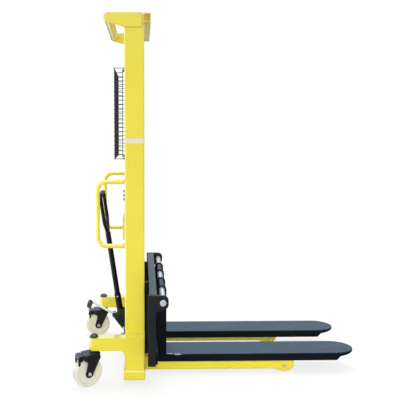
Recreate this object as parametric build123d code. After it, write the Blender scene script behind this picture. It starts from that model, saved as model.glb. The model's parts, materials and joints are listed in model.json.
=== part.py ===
"""Manual hydraulic hand stacker: mast, lift carriage with two sliding forks, pump and casters.

Millimetres, +X toward the fork tips, +Y to the operator's left, +Z up from the floor.
Sizes are written from the rear face of the mast, and each piece is moved to the shared frame
(origin under the middle of the bounding box) when it is written out.
"""
import math
import os

from build123d import *

os.makedirs("parts", exist_ok=True)

LEFT, RIGHT = 1, -1
SIDES = {"left": LEFT, "right": RIGHT}

# Clearances
RUN = 0.06          # radial clearance of a shaft that turns or slides in a hole
SEAT = 0.1          # radial clearance of a pin that stays put in its hole
GAP = 0.4           # least gap between two bodies that slide past each other

# Mast
MAST_D = 112.0
MAST_HALF = 288.0
MAST_FOOT = 36.0
TOP_Z = 2080.0
TOP_STEP = 6.0
MAST_TOP = TOP_Z - TOP_STEP
FLANGE_W = 60.0
FLANGE_T = 10.0
WEB_T = 8.0
MAST_EDGE = 7.0

# Top handle and front beam
TOP_PLATE_T = 6.0
TOP_PLATE_H = 80.0
TOP_PLATE_SHORT = 11.0
TOP_PLATE_FRONT = MAST_D - TOP_PLATE_SHORT
TOP_END_R = 27.0
TOP_BAR_X = -86.0
TOP_BAR_R = 25.0
TOP_BAR_WALL = 4.0
BEAM_D = 35.0
BEAM_H = 50.0
BEAM_STEP = 3.0
BEAM_FRONT = MAST_D + BEAM_D
BEAM_HIGH = TOP_Z - BEAM_STEP
BEAM_LOW = BEAM_HIGH - BEAM_H
BEAM_WALL = 4.0

# Base, outriggers and support legs
BASE_TOP = 87.0
BASE_WALL = 6.0
WHEEL_R = 80.0
CROWN_RISE = 16.0
CROWN_T = 10.0
CROWN_LOW = 2 * WHEEL_R + CROWN_RISE
CROWN_TOP = CROWN_LOW + CROWN_T
SWIVEL_H = 14.0
ARM_W = 54.0
ARM_H = 71.0
ARM_LOW = CROWN_TOP + SWIVEL_H
ARM_TOP = ARM_LOW + ARM_H
ARM_WALL = 5.0
ARM_FILLET = 30.0
SHOE_LIP = 4.0
SHOE_OUT = 8.0
KING_X = -173.0
KING_OUT = 41.0
KING_Y = MAST_HALF + KING_OUT
KING_BORE = 22.0
KING_R = 12.0
KING_INSET = 3.0
KING_NUT_R = 17.0
KING_NUT_H = 7.6
BEARING_H = 14.0
CAP_R = 24.0
CAP_RIM = 5.0
CAP_RISE = 12.0
ROLLER_X = 941.0
ROLLER_R = 37.0
LEG_W = 64.0
LEG_INSET = 7.0
LEG_Y = MAST_HALF - FLANGE_W - LEG_INSET - LEG_W / 2
LEG_RAISE = 14.0
LEG_LOW = ROLLER_R - LEG_RAISE
LEG_DROP = 4.0
LEG_TOP = 2 * ROLLER_R - LEG_DROP
LEG_WALL = 6.0
LEG_NOSE = 55.0
LEG_TIP = ROLLER_X + LEG_NOSE
LEG_CHEEK_LOW = 9.0
LEG_CHEEK_HALF = 23.0
LEG_CHEEK_RAMP = 38.0
LEG_TOE = 9.0
LEG_ROOT_H = 40.0
LEG_ROOT_L = 60.0
ROLLER_SIDE_GAP = 2.0
ROLLER_BAY = 9.0
ROLLER_EDGE = 3.0
AXLE_R = 10.0
AXLE_PROUD = 2.0

# Hand loops on the mast and the mesh guard
LOOP_IN = 24.0
LOOP_Y = MAST_HALF - LOOP_IN
LOOP_X = -154.0
LOOP_LOW = 772.0
LOOP_H = 368.0
LOOP_HIGH = LOOP_LOW + LOOP_H
LOOP_BEND = 52.0
LOOP_R = 12.5
LOOP_WALL = 2.5
GUARD_X = -60.0
GUARD_SIDE_GAP = 1.0
GUARD_HALF = MAST_HALF - FLANGE_W - GUARD_SIDE_GAP
GUARD_LOW = 1266.0
GUARD_H = 520.0
GUARD_HIGH = GUARD_LOW + GUARD_H
GUARD_WIRE = 4.0
GUARD_COLUMNS = 9
GUARD_ROWS = 20
GUARD_FRONT = -8.0
TAB_T = 5.0
TAB_REACH = 36.0
TAB_H = 24.0
TAB_INSET = 12.0
TAB_BOLT_OUT = 21.6
TAB_BOLT_R = 4.0
TAB_HEAD_R = 7.0
TAB_HEAD_H = 5.5

# Lift cylinder, rod, pulley and chain
CYL_BACK = 60.0
CYL_X = MAST_D - CYL_BACK
CYL_R = 35.0
CYL_WALL = 6.0
CYL_FOOT = 38.0
CYL_FOOT_H = 18.0
CYL_TOP = 960.0
GLAND_R = 37.0
GLAND_H = 25.0
GLAND_PLUG = 25.0
ROD_R = 20.0
ROD_SHOW = 15.0
ROD_TOP = CYL_TOP + GLAND_H + ROD_SHOW
PISTON_LOW = 125.0
PISTON_H = 25.0
YOKE_H = 20.0
YOKE_HALF = 26.0
YOKE_CHEEK = 8.0
PULLEY_RISE = 85.0
PULLEY_Z = ROD_TOP + PULLEY_RISE
PULLEY_SEAT = 45.0
PULLEY_FLANGE = 56.0
PULLEY_FLANGE_T = 4.0
PULLEY_SIDE_GAP = 2.5
CHAIN_T = 13.6
CHAIN_W = 22.0
CHAIN_SIDE_GAP = 1.5
WRAP_LINKS = 10
LINK_WAIST = 4.6
LINK_PIN_R = 3.0
LINK_PIN_PROUD = 1.2
INNER_LINK_HALF = 5.5
ANCHOR_RISE = 42.0
REAR_ANCHOR_RISE = 37.0
ANCHOR_R = 6.0
ANCHOR_NUT_R = 10.0
ANCHOR_NUT_H = 10.0
ANCHOR_TAIL = 15.0
ANCHOR_BLOCK_H = 22.0
ANCHOR_BLOCK_HALF = 13.0
TIE_T = 12.0
TIE_IN = 38.0
TIE_HALF = MAST_HALF - TIE_IN
TIE_DROP = 35.0
TIE_H = 120.0
TIE_HIGH = CYL_TOP - TIE_DROP
TIE_LOW = TIE_HIGH - TIE_H
REAR_ANCHOR_Z = TIE_HIGH + REAR_ANCHOR_RISE
CLAMP_RISE = 45.0
CLAMP_Z = TIE_LOW + CLAMP_RISE
CLAMP_H = 30.0
CLAMP_WALL = 4.8
CLAMP_WEB = 20.0
LUG_H = 20.0
LUG_EDGE = 9.0
NUT_ROOM = 2.0

# Carriage
FORK_GROUND = 9.0
FORK_H = 45.0
FORK_LOW = LEG_TOP + FORK_GROUND
FORK_TOP = FORK_LOW + FORK_H
BAR_GAP = 25.0
BAR_REAR = MAST_D + BAR_GAP
TOP_BAR_GAP = 4.6
CARRIAGE_RAISE = 36.0
CARRIAGE_H = 387.0
CARRIAGE_LOW = FORK_TOP + CARRIAGE_RAISE
CARRIAGE_TOP = CARRIAGE_LOW + CARRIAGE_H
CARRIAGE_BAR_H = 60.0
LOWER_BAR_H = 70.0
CHAIN_ANCHOR_Z = CARRIAGE_LOW + LOWER_BAR_H + LUG_H + ANCHOR_RISE
CARRIAGE_BAR_WALL = 5.0
END_PLATE_OUT = 153.0
END_PLATE_IN = MAST_HALF + END_PLATE_OUT
END_PLATE_T = 12.0
END_GAP = 17.5
END_REAR = MAST_D + END_GAP
END_D = 43.5
END_FRONT = END_REAR + END_D
END_NOSE_R = 30.0
END_NOSE_H = 94.0
END_NOSE_LOW = CARRIAGE_TOP - END_NOSE_H
END_NOSE_DROP = 6.0
END_DROP = 7.0
END_LOW = CARRIAGE_LOW - END_DROP
END_TOE_H = 60.0
END_TOE_CUT = 6.0
SHAFT_OUT = 74.6
SHAFT_X = BAR_REAR + SHAFT_OUT
SHAFT_DROP = 41.2
SHAFT_Z = CARRIAGE_TOP - SHAFT_DROP
SHAFT_R = 17.0
SHAFT_PROUD = 3.0
SHAFT_EDGE = 1.5
GUIDE_PLATE_GAP = 11.0
GUIDE_PLATE_T = 12.0
GUIDE_PLATE_IN = MAST_HALF - FLANGE_W - GUIDE_PLATE_GAP - GUIDE_PLATE_T
GUIDE_PLATE_BACK = 40.0
GUIDE_PLATE_REAR = MAST_D / 2 - GUIDE_PLATE_BACK
GUIDE_RISE = 55.0
GUIDE_DROP = 57.0
GUIDE_Z = {"lower": CARRIAGE_LOW + GUIDE_RISE, "upper": CARRIAGE_TOP - GUIDE_DROP}
GUIDE_SIDE_GAP = 1.0
GUIDE_W = 40.0
GUIDE_INSET = 6.0
GUIDE_IN = MAST_HALF - FLANGE_W + GUIDE_INSET
GUIDE_AXLE_R = 17.0
GUIDE_COLLAR_R = 23.0
GUIDE_COLLAR_T = 3.0
GUIDE_EDGE = 2.0
GUIDE_NECK = 34.0
GUIDE_SKIRT = 42.0

# Forks
FORK_Y = 159.0
FORK_W = 160.0
FORK_T = 8.0
FORK_TIP = 1366.0
FORK_NOSE = 118.0
FORK_TAPER = 120.0
FORK_TAPER_STEP = 24.0
FORK_TIP_T = 12.0
FORK_LUG_R = 28.0
FORK_SLEEVE_R = 22.0
FORK_EDGE = 4.0
SHANK_DROP = 19.8
SHANK_TOP = SHAFT_Z - SHANK_DROP

# Pump, handle and foot pedal
PUMP_R = 16.0
PUMP_X = CYL_X - CYL_FOOT - PUMP_R
PIVOT_X = -42.0
PIVOT_Z = 297.0
PUMP_DROP = 21.0
PUMP_TOP = PIVOT_Z - PUMP_DROP
HEAD_DROP = 35.0
HEAD_LOW = PIVOT_Z - HEAD_DROP
HEAD_RISE = 3.0
HEAD_TOP = PIVOT_Z + HEAD_RISE
PUMP_FOOT_HALF = 40.0
PUMP_FOOT_LIP = 20.0
PUMP_FOOT_H = 43.0
HEAD_INSET = 4.0
GUSSET = ((21.0, -47.0), (48.0, -82.0), (66.0, -99.0))
WEB_SIDE = 1.5
WEB_ROOM = 4.0
WING_R = 13.0
PIVOT_R = 10.0
EAR_T = 8.0
EAR_R = 17.0
EAR_ROOM = 5.0
PIN_PROUD = 3.0
SOCKET_BOSS = 16.5
SOCKET_HALF = 19.5
SOCKET_R = 19.5
SOCKET_L = 110.0
HANDLE_LEAN = 8.5
HANDLE_R = 16.5
HANDLE_WALL = 3.0
HANDLE_START = 46.0
HANDLE_NECK = 505.0
HANDLE_FLARE = 75.0
HANDLE_SHOULDER = HANDLE_NECK + HANDLE_FLARE
HANDLE_LOOP_H = 168.0
HANDLE_TOP = HANDLE_SHOULDER + HANDLE_LOOP_H
HANDLE_HALF = 112.0
HANDLE_BEND = 26.0
HANDLE_LOOP_R = 11.0
GRIP_R = 15.0
GRIP_HALF = 78.0
PEDAL_BACK = 36.0
PEDAL_X = PIVOT_X - PEDAL_BACK
PEDAL_DROP = 25.0
PEDAL_Z = PIVOT_Z - PEDAL_DROP
PEDAL_HUB_R = 11.0
PEDAL_HUB_HALF = 11.5
PEDAL_PIN_R = 6.0
PEDAL_BAR_R = 7.0
PEDAL_BEND = 12.0
PAD_BACK = 149.0
PAD_X = PEDAL_X - PAD_BACK
PAD_RISE = 84.0
PAD_Z = PEDAL_Z + PAD_RISE
PAD_R = 15.0
PAD_NEAR = -84.0
PAD_END = 4.0
PAD_FAR = -14.0

# Casters, built round the swivel axis with +X as the way the wheel trails
LEFT_SWIVEL_DEG = 192.0
RIGHT_SWIVEL_DEG = 207.0
TRAIL = 40.0
WHEEL_HALF = 25.0
WHEEL_EDGE = 9.0
HUB_R = 24.0
HUB_HALF = 28.0
DISH_OUT = 60.0
DISH_DEPTH = 4.0
CASTER_LEG_IN = 30.0
CASTER_LEG_T = 6.0
CROWN_FRONT = -27.0
CROWN_REAR = 70.0
CROWN_CORNER = 10.0
SKIRT_FRONT = 12.0
SKIRT_REAR = 18.0
WAIST_OUT = 10.0
WAIST_RISE = 46.0
SHOULDER_OUT = 9.0
SHOULDER_RISE = 66.0
BOSS_R = 23.0
SWIVEL_R = 27.0
WHEEL_BOLT_R = 6.0
WHEEL_NUT_R = 10.0
WHEEL_NUT_H = 7.0
BOLT_PROUD = 4.0
BRAKE_X = 60.0
BRAKE_TUCK = 9.0
BRAKE_Z = CROWN_LOW - BRAKE_TUCK
BRAKE_HUB_R = 7.5
BRAKE_PIN_R = 4.0
BRAKE_HALF = 29.0
BRAKE_CHEEK_T = 2.4
BRAKE_TIP = 103.0
BRAKE_PLATE_T = 7.0
BRAKE_DIP = 2.0
BRAKE_RISE = 18.0
BRAKE_BEND = 11.5
BRAKE_SLOPE = 3.0
BRAKE_CURL = 6.0
BRAKE_ROOT = 30.0
CHEEK_DROP = 10.0
HOOK_W = 12.0
HOOK_DROP = 36.0
HOOK_EDGE = 4.0
BRAKE_PIN_IN = 17.0


def block(x0, x1, y0, y1, z0, z1):
    """A box between two corners."""
    middle = Pos((x0 + x1) / 2, (y0 + y1) / 2, (z0 + z1) / 2)
    return middle * Box(x1 - x0, y1 - y0, z1 - z0)


def bar_y(x, z, radius, y0, y1):
    """A round bar along Y."""
    return Pos(x, (y0 + y1) / 2, z) * Rot(90, 0, 0) * Cylinder(radius, y1 - y0)


def bar_z(x, y, radius, z0, z1):
    """A round bar along Z."""
    return Pos(x, y, (z0 + z1) / 2) * Cylinder(radius, z1 - z0)


def bar_x(y, z, radius, x0, x1):
    """A round bar along X."""
    return Pos((x0 + x1) / 2, y, z) * Rot(0, 90, 0) * Cylinder(radius, x1 - x0)


def hexagon_z(x, y, radius, z0, z1):
    """A hexagon nut or head along Z."""
    face = Pos(x, y, z0) * RegularPolygon(radius, 6)
    return extrude(face, amount=z1 - z0, dir=(0, 0, 1))


def hexagon_y(x, z, radius, y0, y1):
    """A hexagon nut or head along Y."""
    return extrude(Plane.XZ.offset(-y1) * (Pos(x, z) * RegularPolygon(radius, 6)), amount=y1 - y0)


def slab_y(face, y0, y1):
    """A flat shape drawn in X and Z, given thickness along Y."""
    return extrude(Plane.XZ.offset(-y1) * face, amount=y1 - y0)


def slab_z(face, z0, z1):
    """A flat shape drawn in X and Y, given thickness along Z."""
    return extrude(Plane.XY.offset(z0) * face, amount=z1 - z0)


def slab_x(face, x0, x1):
    """A flat shape drawn in Y and Z, given thickness along X."""
    return extrude(Plane.YZ.offset(x0) * face, amount=x1 - x0)


def outline(*points):
    """A closed flat shape through the points, turned so that its face always looks the same way."""
    area = sum(a[0] * b[1] - b[0] * a[1] for a, b in zip(points, points[1:] + points[:1]))
    return Polygon(*(points if area > 0 else points[::-1]), align=None)


def disc(a, b, radius):
    """A flat disc at a place in its own plane."""
    return Pos(a, b) * Circle(radius)


def side(s, near, far):
    """The two Y values of a band that lies from near to far out on one side."""
    return (near, far) if s == LEFT else (-far, -near)


def lower_tangent(px, pz, cx, cz, radius):
    """The point of a disc where the lower tangent from a point in front of it touches."""
    away = math.atan2(pz - cz, px - cx)
    half = math.acos(radius / math.hypot(px - cx, pz - cz))
    return cx + radius * math.cos(away - half), cz + radius * math.sin(away - half)


# Mast and its fixed frame

def mast_channel(s):
    """Channel welded from a web and two flanges, open toward the middle, where the guide rollers run."""
    web = block(0, MAST_D, *side(s, MAST_HALF - WEB_T, MAST_HALF), MAST_FOOT, MAST_TOP)
    outer_edges = web.edges().filter_by(Axis.Z).sort_by(lambda edge: s * edge.center().Y)[-2:]
    web = fillet(outer_edges, MAST_EDGE)
    reach = side(s, MAST_HALF - FLANGE_W, MAST_HALF - WEB_T)
    front = block(MAST_D - FLANGE_T, MAST_D, *reach, MAST_FOOT, MAST_TOP)
    rear = block(0, FLANGE_T, *reach, MAST_FOOT, MAST_TOP)
    for z in (GUARD_LOW + TAB_INSET, GUARD_HIGH - TAB_INSET):
        rear -= bar_x(s * (GUARD_HALF + TAB_BOLT_OUT), z, TAB_BOLT_R + SEAT, -1, FLANGE_T + 1)
    return Compound(children=[web, front, rear])


def top_handle():
    """Two cheek plates on the outside of the mast, joined behind it by a round bar."""
    bar_z_place = TOP_Z - TOP_END_R
    low = TOP_Z - TOP_PLATE_H
    touch = lower_tangent(0, low, TOP_BAR_X, bar_z_place, TOP_END_R)
    front = TOP_PLATE_FRONT
    cheek = outline((TOP_BAR_X, TOP_Z), touch, (0, low), (front, low), (front, TOP_Z))
    cheek += disc(TOP_BAR_X, bar_z_place, TOP_END_R)
    body = bar_y(TOP_BAR_X, bar_z_place, TOP_BAR_R, -MAST_HALF, MAST_HALF)
    body -= bar_y(TOP_BAR_X, bar_z_place, TOP_BAR_R - TOP_BAR_WALL, -MAST_HALF, MAST_HALF)
    for s in SIDES.values():
        body += slab_y(cheek, *side(s, MAST_HALF, MAST_HALF + TOP_PLATE_T))
    return body


def front_top_beam():
    """Folded channel that ties the two channels across the front of their tops."""
    half = MAST_HALF + TOP_PLATE_T
    low, high = BEAM_LOW + BEAM_WALL, BEAM_HIGH - BEAM_WALL
    body = block(MAST_D, BEAM_FRONT, -half, half, BEAM_LOW, BEAM_HIGH)
    return body - block(MAST_D - 1, BEAM_FRONT - BEAM_WALL, -half - 1, half + 1, low, high)


def mid_cross_tie():
    """Plate across the back of the mast, with the welded ring that steadies the cylinder."""
    body = block(-TIE_T, 0, -TIE_HALF, TIE_HALF, TIE_LOW, TIE_HIGH)
    ring = CYL_R + CLAMP_WALL
    body += block(0, CYL_X, -CLAMP_WEB, CLAMP_WEB, CLAMP_Z, CLAMP_Z + CLAMP_H)
    body += bar_z(CYL_X, 0, ring, CLAMP_Z, CLAMP_Z + CLAMP_H)
    return body - bar_z(CYL_X, 0, CYL_R + SEAT, CLAMP_Z - 1, CLAMP_Z + CLAMP_H + 1)


def base_beam():
    """Box section between the feet of the two channels."""
    half = MAST_HALF - FLANGE_W
    body = block(0, MAST_D, -half, half, MAST_FOOT, BASE_TOP)
    return body - block(
        BASE_WALL, MAST_D - BASE_WALL, -half - 1, half + 1, MAST_FOOT + BASE_WALL, BASE_TOP - BASE_WALL
    )


def outrigger(s):
    """Foot box on the outside of the mast, with the arm that carries the caster behind it."""
    inner = KING_Y - ARM_W / 2
    outer = KING_Y + ARM_W / 2
    body = block(0, MAST_D, *side(s, MAST_HALF, outer), BASE_TOP, ARM_TOP)
    shoe = outline(
        (s * MAST_HALF, MAST_FOOT),
        (s * (outer + SHOE_OUT), MAST_FOOT),
        (s * (outer + SHOE_OUT), BASE_TOP - SHOE_OUT),
        (s * outer, BASE_TOP),
        (s * MAST_HALF, BASE_TOP),
    )
    body += slab_x(shoe, -SHOE_LIP, MAST_D + SHOE_LIP)
    body += block(KING_X, 0, *side(s, inner, outer), ARM_LOW, ARM_TOP)
    body += bar_z(KING_X, s * KING_Y, ARM_W / 2, ARM_LOW, ARM_TOP)
    web = block(-ARM_FILLET, 0, *side(s, inner, outer), ARM_LOW - ARM_FILLET, ARM_LOW)
    body += web - bar_y(-ARM_FILLET, ARM_LOW - ARM_FILLET, ARM_FILLET, *side(s, inner - 1, outer + 1))
    hollow = side(s, MAST_HALF + ARM_WALL, outer - ARM_WALL)
    body -= block(ARM_WALL, MAST_D - ARM_WALL, *hollow, MAST_FOOT - 1, ARM_TOP - ARM_WALL)
    hollow = side(s, inner + ARM_WALL, outer - ARM_WALL)
    front_of_bore = KING_X + KING_BORE + 2 * ARM_WALL
    body -= block(front_of_bore, 2 * ARM_WALL, *hollow, ARM_LOW + ARM_WALL, ARM_TOP - ARM_WALL)
    return body - bar_z(KING_X, s * KING_Y, KING_BORE, ARM_LOW - 1, ARM_TOP + 1)


def support_leg(s):
    """Low box leg with a raised root and two deeper cheeks that hold the load roller."""
    y0, y1 = side(s, LEG_Y - LEG_W / 2, LEG_Y + LEG_W / 2)
    bay = ROLLER_X - ROLLER_R - ROLLER_BAY
    profile = outline(
        (MAST_D, LEG_LOW),
        (ROLLER_X - LEG_CHEEK_HALF - LEG_CHEEK_RAMP, LEG_LOW),
        (ROLLER_X - LEG_CHEEK_HALF, LEG_CHEEK_LOW),
        (ROLLER_X + LEG_CHEEK_HALF, LEG_CHEEK_LOW),
        (LEG_TIP - LEG_TOE, LEG_LOW),
        (LEG_TIP, ROLLER_R),
        (LEG_TIP, LEG_TOP),
        (MAST_D + LEG_ROOT_L, LEG_TOP),
        (MAST_D, LEG_TOP + LEG_ROOT_H),
    )
    body = slab_y(profile, y0, y1)
    inner = (y0 + LEG_WALL, y1 - LEG_WALL)
    body -= block(MAST_D - 1, bay - LEG_WALL, *inner, LEG_LOW + LEG_WALL, LEG_TOP - LEG_WALL)
    body -= block(bay, LEG_TIP + 1, *inner, 0, LEG_TOP + 1)
    return body - bar_y(ROLLER_X, ROLLER_R, AXLE_R + SEAT, y0 - 1, y1 + 1)


def load_roller_axles():
    """One pin through the cheeks of each leg."""
    near = LEG_Y - LEG_W / 2 - AXLE_PROUD
    far = LEG_Y + LEG_W / 2 + AXLE_PROUD
    pins = [bar_y(ROLLER_X, ROLLER_R, AXLE_R, *side(s, near, far)) for s in SIDES.values()]
    return Compound(children=pins)


def load_roller(s):
    """Nylon roller at the end of a support leg."""
    half = LEG_W / 2 - LEG_WALL - ROLLER_SIDE_GAP
    body = bar_y(ROLLER_X, ROLLER_R, ROLLER_R, s * LEG_Y - half, s * LEG_Y + half)
    body = chamfer(body.edges().filter_by(GeomType.CIRCLE), ROLLER_EDGE)
    return body - bar_y(ROLLER_X, ROLLER_R, AXLE_R + RUN, s * LEG_Y - half - 1, s * LEG_Y + half + 1)


def handle_loop(s):
    """Bent tube on the back of a channel, to push and pull by."""
    corners = [(0, LOOP_HIGH), (LOOP_X, LOOP_HIGH), (LOOP_X, LOOP_LOW), (0, LOOP_LOW)]
    path = FilletPolyline(*[(x, s * LOOP_Y, z) for x, z in corners], radius=LOOP_BEND)
    start = Plane(origin=(0, s * LOOP_Y, LOOP_HIGH), x_dir=(0, 1, 0), z_dir=(-1, 0, 0))
    return sweep(start * (Circle(LOOP_R) - Circle(LOOP_R - LOOP_WALL)), path)


def mesh_guard_panel():
    """Rear wall of the wire guard as one holed plate."""
    half = GUARD_HALF - GUARD_WIRE
    height = GUARD_HIGH - GUARD_LOW
    pitch_y = (2 * half - GUARD_WIRE) / GUARD_COLUMNS
    pitch_z = (height - GUARD_WIRE) / GUARD_ROWS
    hole = Rectangle(pitch_y - GUARD_WIRE, pitch_z - GUARD_WIRE)
    holes = GridLocations(pitch_y, pitch_z, GUARD_COLUMNS, GUARD_ROWS)
    net = Rectangle(2 * half, height) - [place * hole for place in holes]
    net = Pos(0, (GUARD_LOW + GUARD_HIGH) / 2) * net
    return slab_x(net, GUARD_X - GUARD_WIRE / 2, GUARD_X + GUARD_WIRE / 2)


def mesh_return(s):
    """Side wall of the wire guard, bent forward, with the tabs that are bolted to the channel."""
    rear = GUARD_X - GUARD_WIRE / 2
    depth = GUARD_FRONT - rear
    height = GUARD_HIGH - GUARD_LOW
    pitch_z = (height - GUARD_WIRE) / GUARD_ROWS
    hole = Rectangle(depth - 2 * GUARD_WIRE, pitch_z - GUARD_WIRE)
    holes = GridLocations(0, pitch_z, 1, GUARD_ROWS)
    net = Rectangle(depth, height) - [place * hole for place in holes]
    net = Pos((rear + GUARD_FRONT) / 2, (GUARD_LOW + GUARD_HIGH) / 2) * net
    wall = side(s, GUARD_HALF - GUARD_WIRE, GUARD_HALF)
    body = slab_y(net, *wall)
    for z in (GUARD_LOW + TAB_INSET, GUARD_HIGH - TAB_INSET):
        low, high = z - TAB_H / 2, z + TAB_H / 2
        body += block(GUARD_FRONT - GUARD_WIRE, 0, *wall, low, high)
        body += block(-TAB_T, 0, *side(s, GUARD_HALF - GUARD_WIRE, GUARD_HALF + TAB_REACH), low, high)
        body -= bar_x(s * (GUARD_HALF + TAB_BOLT_OUT), z, TAB_BOLT_R + SEAT, -TAB_T - 1, 1)
    return body


def mesh_guard_bolts():
    """Four hexagon bolts through the guard's tabs into the rear flanges."""
    bolts = []
    for s in SIDES.values():
        y = s * (GUARD_HALF + TAB_BOLT_OUT)
        for z in (GUARD_LOW + TAB_INSET, GUARD_HIGH - TAB_INSET):
            head = slab_x(Pos(y, z) * RegularPolygon(TAB_HEAD_R, 6), -TAB_T - TAB_HEAD_H, -TAB_T)
            bolts.append(head + bar_x(y, z, TAB_BOLT_R, -TAB_T, FLANGE_T))
    return Compound(children=bolts)


def kingpin_caps():
    """Domed plugs on top of the caster arms."""
    caps = []
    ball_r = (CAP_R ** 2 + CAP_RISE ** 2) / (2 * CAP_RISE)
    crown = ARM_TOP + CAP_RIM + CAP_RISE
    for s in SIDES.values():
        y = s * KING_Y
        dome = Pos(KING_X, y, crown - ball_r) * Sphere(ball_r)
        dome &= bar_z(KING_X, y, CAP_R, ARM_TOP + CAP_RIM, crown + 1)
        caps.append(bar_z(KING_X, y, CAP_R, ARM_TOP, ARM_TOP + CAP_RIM) + dome)
    return Compound(children=caps)


def king_nut_low():
    """Underside of the nut that holds the kingpin up in its bearings."""
    return ARM_TOP - KING_INSET - KING_NUT_H


def kingpin_bearings():
    """Two bearing rings in each caster arm."""
    rings = []
    for s in SIDES.values():
        for low in (ARM_LOW + KING_INSET, king_nut_low() - GAP - BEARING_H):
            ring = bar_z(KING_X, s * KING_Y, KING_BORE - SEAT, low, low + BEARING_H)
            rings.append(ring - bar_z(KING_X, s * KING_Y, KING_R + RUN, low - 1, low + BEARING_H + 1))
    return Compound(children=rings)


# Lift cylinder, chain and pulley

def lift_cylinder():
    """Barrel welded on its foot."""
    foot_top = BASE_TOP + CYL_FOOT_H
    body = block(CYL_X - CYL_FOOT, CYL_X + CYL_FOOT, -CYL_FOOT, CYL_FOOT, BASE_TOP, foot_top)
    body += bar_z(CYL_X, 0, CYL_R, foot_top, CYL_TOP)
    return body - bar_z(CYL_X, 0, CYL_R - CYL_WALL, foot_top, CYL_TOP + 1)


def cylinder_gland():
    """Screwed head that guides the rod."""
    body = bar_z(CYL_X, 0, GLAND_R, CYL_TOP, CYL_TOP + GLAND_H)
    body += bar_z(CYL_X, 0, CYL_R - CYL_WALL - SEAT, CYL_TOP - GLAND_PLUG, CYL_TOP)
    return body - bar_z(CYL_X, 0, ROD_R + RUN, CYL_TOP - GLAND_PLUG - 1, CYL_TOP + GLAND_H + 1)


def piston_rod():
    """Plated rod with its piston."""
    body = bar_z(CYL_X, 0, ROD_R, PISTON_LOW, ROD_TOP)
    return body + bar_z(CYL_X, 0, CYL_R - CYL_WALL - RUN, PISTON_LOW, PISTON_LOW + PISTON_H)


def pulley_half_width():
    """Half the width of the chain pulley over its flanges."""
    return CHAIN_W / 2 + CHAIN_SIDE_GAP + PULLEY_FLANGE_T


def pulley_yoke():
    """Fork on the rod end that holds the chain pulley on its axle."""
    inner = pulley_half_width() + PULLEY_SIDE_GAP
    outer = inner + YOKE_CHEEK
    base = ROD_TOP + YOKE_H
    body = block(CYL_X - YOKE_HALF, CYL_X + YOKE_HALF, -outer, outer, ROD_TOP, base)
    rear, front = CYL_X - YOKE_HALF, CYL_X + YOKE_HALF
    cheek = outline((rear, base), (front, base), (front, PULLEY_Z), (rear, PULLEY_Z))
    cheek += disc(CYL_X, PULLEY_Z, YOKE_HALF)
    for s in SIDES.values():
        body += slab_y(cheek, *side(s, inner, outer))
    return body + bar_y(CYL_X, PULLEY_Z, AXLE_R, -outer - YOKE_CHEEK / 2, outer + YOKE_CHEEK / 2)


def chain_pulley():
    """Flanged wheel that the lift chain runs over."""
    half = pulley_half_width()
    body = bar_y(CYL_X, PULLEY_Z, PULLEY_SEAT, -half, half)
    for s in SIDES.values():
        body += bar_y(CYL_X, PULLEY_Z, PULLEY_FLANGE, *side(s, half - PULLEY_FLANGE_T, half))
    return body - bar_y(CYL_X, PULLEY_Z, AXLE_R + RUN, -half - 1, half + 1)


def chain_radius():
    """Radius of the chain's middle as it goes round the pulley."""
    return PULLEY_SEAT + GAP + CHAIN_T / 2


def chain_pitch():
    """Length of a link: the half turn on the pulley holds a whole number of them."""
    return math.pi * chain_radius() / WRAP_LINKS


def link_plates(pins):
    """Side view of the links that join each pair of pins: two round ends and a waist."""
    plates = []
    for (x0, z0), (x1, z1) in pins:
        lean = math.degrees(math.atan2(z1 - z0, x1 - x0))
        plate = Pos((x0 + x1) / 2, (z0 + z1) / 2) * Rot(0, 0, lean)
        plate = plate * Rectangle(math.hypot(x1 - x0, z1 - z0), 2 * LINK_WAIST)
        plates.append(plate + disc(x0, z0, CHAIN_T / 2) + disc(x1, z1, CHAIN_T / 2))
    return plates


def leaf_chain(pins, low, high):
    """Leaf chain through a row of pins between two heights: outer and inner links take turns."""
    window = Pos(CYL_X, (low + high) / 2) * Rectangle(4 * PULLEY_FLANGE, high - low)
    pairs = list(zip(pins, pins[1:]))
    plate_out = CHAIN_W / 2 - LINK_PIN_PROUD
    pieces = []
    for plate in link_plates(pairs[1::2]):
        pieces.append(slab_y(plate & window, -INNER_LINK_HALF, INNER_LINK_HALF))
    for plate in link_plates(pairs[0::2]):
        pieces += [slab_y(plate & window, *side(s, INNER_LINK_HALF, plate_out)) for s in SIDES.values()]
    for x, z in pins:
        if low < z - LINK_PIN_R and z + LINK_PIN_R < high:
            pieces.append(bar_y(x, z, LINK_PIN_R, -CHAIN_W / 2, CHAIN_W / 2))
    return pieces[0].fuse(*pieces[1:])


def lift_chain_wrap():
    """The half turn of chain that lies on the pulley."""
    radius = chain_radius()
    step = math.pi / WRAP_LINKS
    turns = [(k - 0.5) * step for k in range(WRAP_LINKS + 2)]
    pins = [(CYL_X + radius * math.cos(t), PULLEY_Z + radius * math.sin(t)) for t in turns]
    return leaf_chain(pins, PULLEY_Z, PULLEY_Z + radius + CHAIN_T)


def chain_run(x, z0):
    """A straight run of chain up to the pulley, from half a link above it to the first pin below z0."""
    pitch = chain_pitch()
    last = math.floor((PULLEY_Z - z0) / pitch + 0.5) + 1
    pins = [(x, PULLEY_Z + (0.5 - k) * pitch) for k in range(last + 1)]
    return leaf_chain(pins, z0, PULLEY_Z - GAP)


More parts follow.
